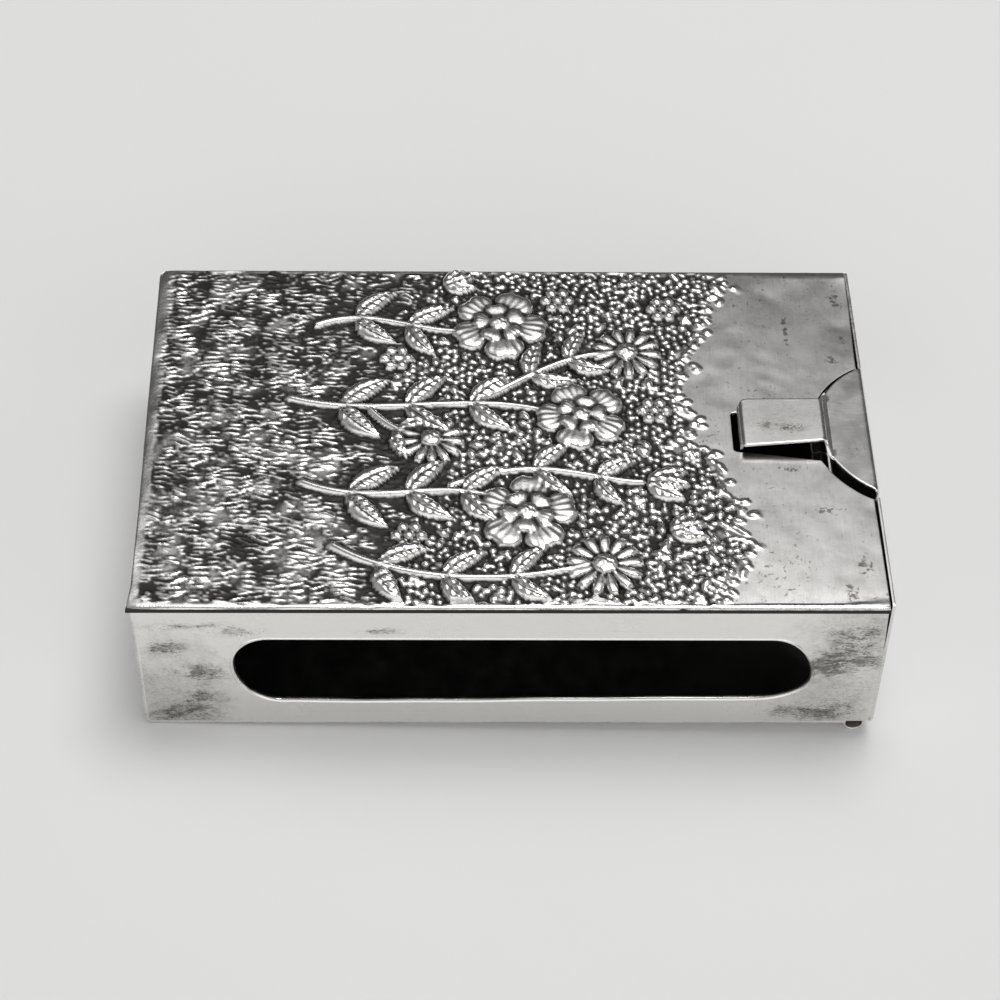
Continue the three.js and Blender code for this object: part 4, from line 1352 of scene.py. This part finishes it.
class CASE_OT_end_lid(Operator):
    """Makes the hinged end lid, one strip folded into a sprung tab."""

    bl_idname = "case.end_lid"
    bl_label = "End lid and tab"

    def strip(self, tab, thickness):
        """The lid's bent path, from its hinge flange to the tip of the tongue."""
        outer, low, top = LID_HIGH[0], LID_LOW[2], PANEL_TOP
        fold = top + mm(tab, "lift") + thickness
        flare = fold + mm(tab, "flare_rise")
        tongue = flare + mm(tab, "step")
        tip = LID_LOW[0]
        root = tip + mm(tab, "tongue_length")
        corners = [
            (2 * HINGE[0] - BASE_HIGH[0], low),
            (outer, low),
            (outer, fold),
            (root + mm(tab, "step_run"), flare),
            (root, tongue),
            (tip, tongue - mm(tab, "tongue_fall")),
            (tip, top + mm(tab, "tip_gap")),
        ]
        return BentStrip(corners, thickness, [mm(tab, "bend")] * 4 + [mm(tab, "tip_bend")])

    def pattern(self, tab, strip, half, tip_corner):
        """One half of the lid's flat pattern, from the flange up."""
        top, thickness = PANEL_TOP, mm(tab, "thickness")
        flange_half = -FRONT_HIGH[1] - FLANGE_PLAY
        centre, radius = PANEL_HIGH[0] + mm(tab, "centre"), mm(tab, "radius")
        fold_half = math.sqrt(radius**2 - (centre - LID_HIGH[0]) ** 2)
        root_half, tip_half = mm(tab, "root_width") / 2, mm(tab, "tip_width") / 2
        plate = strip.nx > 0.999
        edge = np.interp(top, strip.z[plate], strip.s[plate])
        on_tab = strip.s >= strip.s[plate][-1]

        def along(x):
            return np.interp(-x, -strip.x[on_tab], strip.s[on_tab])

        shoulder = LID_HIGH[0] - thickness - strip.x[0]
        corner = mm(tab, "corner")
        cut = fold_half + mm(tab, "cut_width")
        line = Outline(0.3)
        line.to(0, 0).to(flange_half, 0).to(flange_half, shoulder).add((half, shoulder))
        line.arc((half - corner, edge - corner), corner, 0, math.pi / 2)
        line.to(cut, edge).to(cut, edge - mm(tab, "cut_depth"))
        line.to(fold_half, edge - mm(tab, "cut_depth")).to(fold_half, edge)
        first = math.asin(fold_half / radius)
        for turn in np.linspace(first, math.asin(root_half / radius), 40):
            line.to(radius * math.sin(turn), along(centre - radius * math.cos(turn)))
        fold, reach = along(LID_LOW[0] + 0.15), strip.s[-1]
        inner_half = tip_half - tip_corner
        line.arc((inner_half, fold - tip_corner), tip_corner, 0, 1.15)
        line.to(inner_half, reach).to(0, reach)
        return line.loop()

    def execute(self, context):
        tab, finishes = context.scene.case_tab, context.scene.case_finishes
        sizes = context.scene.case_sheet
        thickness = mm(tab, "thickness")
        strip = self.strip(tab, thickness)
        far = self.pattern(tab, strip, LID_HIGH[1], mm(tab, "tip_corner"))[1:-1]
        near = self.pattern(tab, strip, -LID_LOW[1], mm(tab, "tip_arris"))[1:-1]
        middle = np.array([[0, 0.0], [0, strip.s[-1]]])
        loop = np.concatenate([middle[:1], far, middle[1:], (near * (-1, 1))[::-1]])
        plate_rows = strip.rows_between(0.4, PLATE_END, 3.0)
        tab_rows = strip.rows_between(PLATE_END, strip.s[-1] - 0.3, 0.6)
        half, tab_half = LID_HIGH[1], 11
        on_plate = crossed(plate_rows, np.linspace(-half, half, 30), loop, 0.45)
        on_tab = crossed(tab_rows, np.linspace(-tab_half, tab_half, 41), loop, 0.4)
        inner = np.concatenate([on_plate, on_tab])
        rows = edge_rows(thickness, mm(sizes, "arris"), INNER_EDGE)
        piece = sheet("folded_lid", [loop], inner, rows, strip.place, inner)
        top, end = PANEL_TOP, LID_HIGH[0]
        tongue, step, flare = top + 1.9, top + 0.9, top + 0.7
        smears = tarnish_and_shade_on("z", tongue, (31.3, -0.6, 2.4, 1.3), (34.8, -1.4, 3.2, 1.4))
        smears += tarnish_and_shade_on("z", step, (38.9, 1.0, 0.9, 4.0))
        smears += tarnish_and_shade_on("z", flare, (42.0, -4.0, 2.0, 2.0))
        smears += tarnish_and_shade_on("x", end, (15.0, 8.0, 9.0, 6.0), (-16.0, 15.0, 8.0, 5.0))
        # Darker along the far top edge of the lid's end
        smears += [((end, 20.0, top), (1.2, 12.0, 1.6))]
        veils_and_shade = tarnish_and_shade_on("x", end, (0.0, 14.0, 18.0, 9.0))
        veils_and_shade += tarnish_and_shade_on("z", tongue, (33.5, 1.0, 7.0, 6.0))
        # Darker down the near edge and along the far top edge of the lid's end
        veils_and_shade += [((end, LID_LOW[1], 9.0), (1.2, 0.9, 17.0)), ((end, 20.0, top), (1.2, 14.0, 1.6))]
        polish(piece, "lid", "lid", finishes, "lid", smears, veils_and_shade, wave=0.015)
        return {"FINISHED"}


def lathe(name, end_rows, near, far, sides, closed):
    """A turned piece on the hinge line, alike at both ends.

    A row gives a radius and its distance from the end.
    """
    profile = [(r, near + d) for r, d in end_rows] + [(r, far - d) for r, d in reversed(end_rows)]
    turns = np.linspace(0, 2 * math.pi, sides, endpoint=False)
    x, z = np.cos(turns), np.sin(turns)
    rings = [np.column_stack([HINGE[0] + r * x, np.full(sides, y), HINGE[2] + r * z]) for r, y in profile]
    here, on = np.arange(sides), np.roll(np.arange(sides), -1)
    last = len(profile) if closed else len(profile) - 1
    quads = []
    for k in range(last):
        a, b = k * sides, (k + 1) % len(profile) * sides
        quads.append(np.stack([a + here, a + on, b + on, b + here], axis=1))
    if not closed:
        quads += [here[None, ::-1], last * sides + here[None, :]]
    return make_mesh(name, np.concatenate(rings), quads, smooth_angle=50)


class CASE_OT_hinge(Operator):
    """Makes the hinge tubes and the wire through them."""

    bl_idname = "case.hinge"
    bl_label = "Hinge tubes and pin"

    def execute(self, context):
        finishes = context.scene.case_finishes
        tube_metal = material("Drawn silver tube", drawn_metal, finishes.silver, finishes, 0.28)
        wire = material("Hinge wire", drawn_metal, finishes.wire, finishes, 0.35)
        # The bores are dark grey
        bores = material("Dark tube bores", drawn_metal, finishes.wire, finishes, 0.45)
        pin_low, pin_high = box_mm("hinge_pin")
        pin_radius = (pin_high[2] - pin_low[2]) / 2
        bore, ease = pin_radius + PIN_PLAY, 0.07
        for node in TUBES:
            low, high = box_mm(node)
            outer = (high[2] - low[2]) / 2
            rows = [
                (bore, ease),
                (bore + ease, 0),
                (outer - ease, 0),
                (outer - 0.3 * ease, 0.3 * ease),
                (outer, ease),
                (outer, 3 * ease),
            ]
            name = node.replace("hinge_tube", "knuckle")
            piece = lathe(name, rows, low[1], high[1], sides=40, closed=True)
            settle(piece, node, node.split("_")[0], "hinge_silver", tube_metal, bores)
        ease = 0.2
        rows = [
            (pin_radius - 1.5 * ease, 0),
            (pin_radius - ease, 0),
            (pin_radius - 0.3 * ease, 0.3 * ease),
            (pin_radius, ease),
        ]
        piece = lathe("pin_wire", rows, pin_low[1], pin_high[1], sides=32, closed=False)
        settle(piece, "hinge_pin", "case", "pin_wire", wire)
        return {"FINISHED"}


class CASE_OT_stage(Operator):
    """Makes the pale floor, the soft light and the camera."""

    bl_idname = "case.stage"
    bl_label = "Studio stage"

    def floor(self, sizes, finishes):
        """A floor that the case rests on by its closed end and its hinge."""
        slope = BASE_LOW[2] / (HINGE[0] - BASE_LOW[0])
        reach = sizes.floor_reach
        square = ((-reach, -reach), (reach, -reach), (reach, reach), (-reach, reach))
        corners = [(x, y, (HINGE[0] * MM - x) * slope) for x, y in square]
        mesh = bpy.data.meshes.new("floor")
        mesh.from_pydata(corners, [], [(0, 1, 2, 3)])
        piece = bpy.data.objects.new("floor", mesh)
        bpy.context.scene.collection.objects.link(piece)
        made = Finish("Pale floor")
        mottle = made.noise(0.02, 4.0)
        tone = made.mix(made.rise(mottle, 0.3, 0.7, 0.0, 0.06), finishes.floor, (0.7, 0.7, 0.69))
        for key, value in (("Base Color", tone), ("Roughness", 0.75), ("Specular IOR Level", 0.2)):
            made.feed(made.shader.inputs[key], value)
        mesh.materials.append(made.material)

    def world(self):
        """Soft light from high behind, from the front and from both sides, before a plain pale backdrop."""
        world = bpy.data.worlds.new("Soft light")
        bpy.context.scene.world = world
        world.use_nodes = True
        made = Nodes(world.node_tree)
        way = made.node("SeparateXYZ", {0: made.node("TexCoord").outputs["Generated"]})
        x, y, z = (way.outputs[axis] for axis in "XYZ")

        def product(*ramps):
            level = made.ramp(*ramps[0])
            for ramp in ramps[1:]:
                level = made.times(level, made.ramp(*ramp))
            return level

        far = product(
            (z, 0.658, 0.83, 0.04, 1.72),
            (z, 0.9, 1.0, 1.0, 0.3),
            (y, 0.1, 0.5, 0.3, 1.0),
            (x, -0.4, -0.15, 0.4, 1.0),
            (x, 0.05, 0.35, 1.0, 0.5),
        )
        front = product(
            (y, -0.5, -0.1, 1.4, 0.1),
            (z, 0.0, 0.2, 0.1, 1.0),
            (z, 0.6, 0.9, 1.0, 0.35),
        )
        side = product(
            (made.math("ABSOLUTE", x), 0.35, 0.6, 0.0, 0.45),
            (y, 0.5, 0.62, 1.0, 0.0),
            (z, 0.0, 0.2, 0.3, 1.0),
            (z, 0.7, 0.8, 1.0, 0.0),
        )
        level = made.math("MAXIMUM", made.math("MAXIMUM", far, front), side)
        studio = made.node("Background", {"Strength": level})
        pale = made.node("Background", {"Color": (0.72, 0.72, 0.72, 1)})
        seen = made.node("LightPath").outputs["Is Camera Ray"]
        mixed = made.node("MixShader", {0: seen, 1: studio.outputs[0], 2: pale.outputs[0]})
        made.node("OutputWorld", {0: mixed.outputs[0]})

    def lamp(self, name, place, aim, size, watts):
        """A soft square lamp that points at a place."""
        data = bpy.data.lights.new(name, "AREA")
        data.size = size
        data.energy = watts
        lamp = bpy.data.objects.new(name, data)
        lamp.location = place
        lamp.rotation_euler = (Vector(aim) - Vector(place)).to_track_quat("-Z", "Y").to_euler()
        bpy.context.scene.collection.objects.link(lamp)

    def camera(self, sizes):
        """The camera at the photograph's place."""
        p, y, r = sizes.pitch, sizes.yaw, sizes.roll
        forward = Vector((math.sin(y) * math.cos(p), math.cos(y) * math.cos(p), -math.sin(p)))
        level = Vector((math.cos(y), -math.sin(y), 0))
        up = level.cross(forward)
        right = level * math.cos(r) + up * math.sin(r)
        top = up * math.cos(r) - level * math.sin(r)
        data = bpy.data.cameras.new("camera")
        data.lens = sizes.lens
        data.sensor_width = 36
        data.clip_start, data.clip_end = 0.01, 20
        camera = bpy.data.objects.new("camera", data)
        axes = Matrix((right, top, -forward)).transposed().to_4x4()
        camera.matrix_world = Matrix.Translation(sizes.eye) @ axes
        bpy.context.scene.collection.objects.link(camera)
        bpy.context.scene.camera = camera

    def execute(self, context):
        sizes, finishes = context.scene.case_stage, context.scene.case_finishes
        context.scene.view_settings.view_transform = "Standard"
        self.floor(sizes, finishes)
        self.world()
        self.lamp("ceiling lamp", place=(0.14, 0.12, 0.85), aim=(0, 0, 0.02), size=0.42, watts=3.7)
        self.camera(sizes)
        return {"FINISHED"}


class CASE_PT_sidebar(Panel):
    """Lists the pieces of the case."""

    bl_label = "Silver packet case"
    bl_idname = "CASE_PT_sidebar"
    bl_space_type = "VIEW_3D"
    bl_region_type = "UI"
    bl_category = "Case"

    def draw(self, context):
        for step in STEPS:
            self.layout.operator(step.bl_idname)
        for name in GROUPS:
            box = self.layout.box()
            group = getattr(context.scene, name)
            for key in group.__annotations__:
                box.prop(group, key)


STEPS = (
    CASE_OT_chased_panel,
    CASE_OT_long_walls,
    CASE_OT_base_sheet,
    CASE_OT_end_lid,
    CASE_OT_hinge,
    CASE_OT_stage,
)
GROUPS = {
    "case_sheet": CaseSheetSizes,
    "case_tab": CaseTabSizes,
    "case_relief": CaseReliefSizes,
    "case_finishes": CaseFinishes,
    "case_stage": CaseStageSizes,
}


def register():
    """Adds the classes and the scene's settings."""
    for made in (*GROUPS.values(), *STEPS, CASE_PT_sidebar):
        bpy.utils.register_class(made)
    for name, group in GROUPS.items():
        setattr(bpy.types.Scene, name, PointerProperty(type=group))


def unregister():
    """Takes them away again."""
    for name in GROUPS:
        delattr(bpy.types.Scene, name)
    for made in reversed((*GROUPS.values(), *STEPS, CASE_PT_sidebar)):
        bpy.utils.unregister_class(made)


def main():
    """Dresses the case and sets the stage."""
    register()
    bpy.ops.case.stage()
    bpy.ops.case.chased_panel()
    bpy.ops.case.long_walls()
    bpy.ops.case.base_sheet()
    bpy.ops.case.end_lid()
    bpy.ops.case.hinge()


if __name__ == "__main__":
    main()
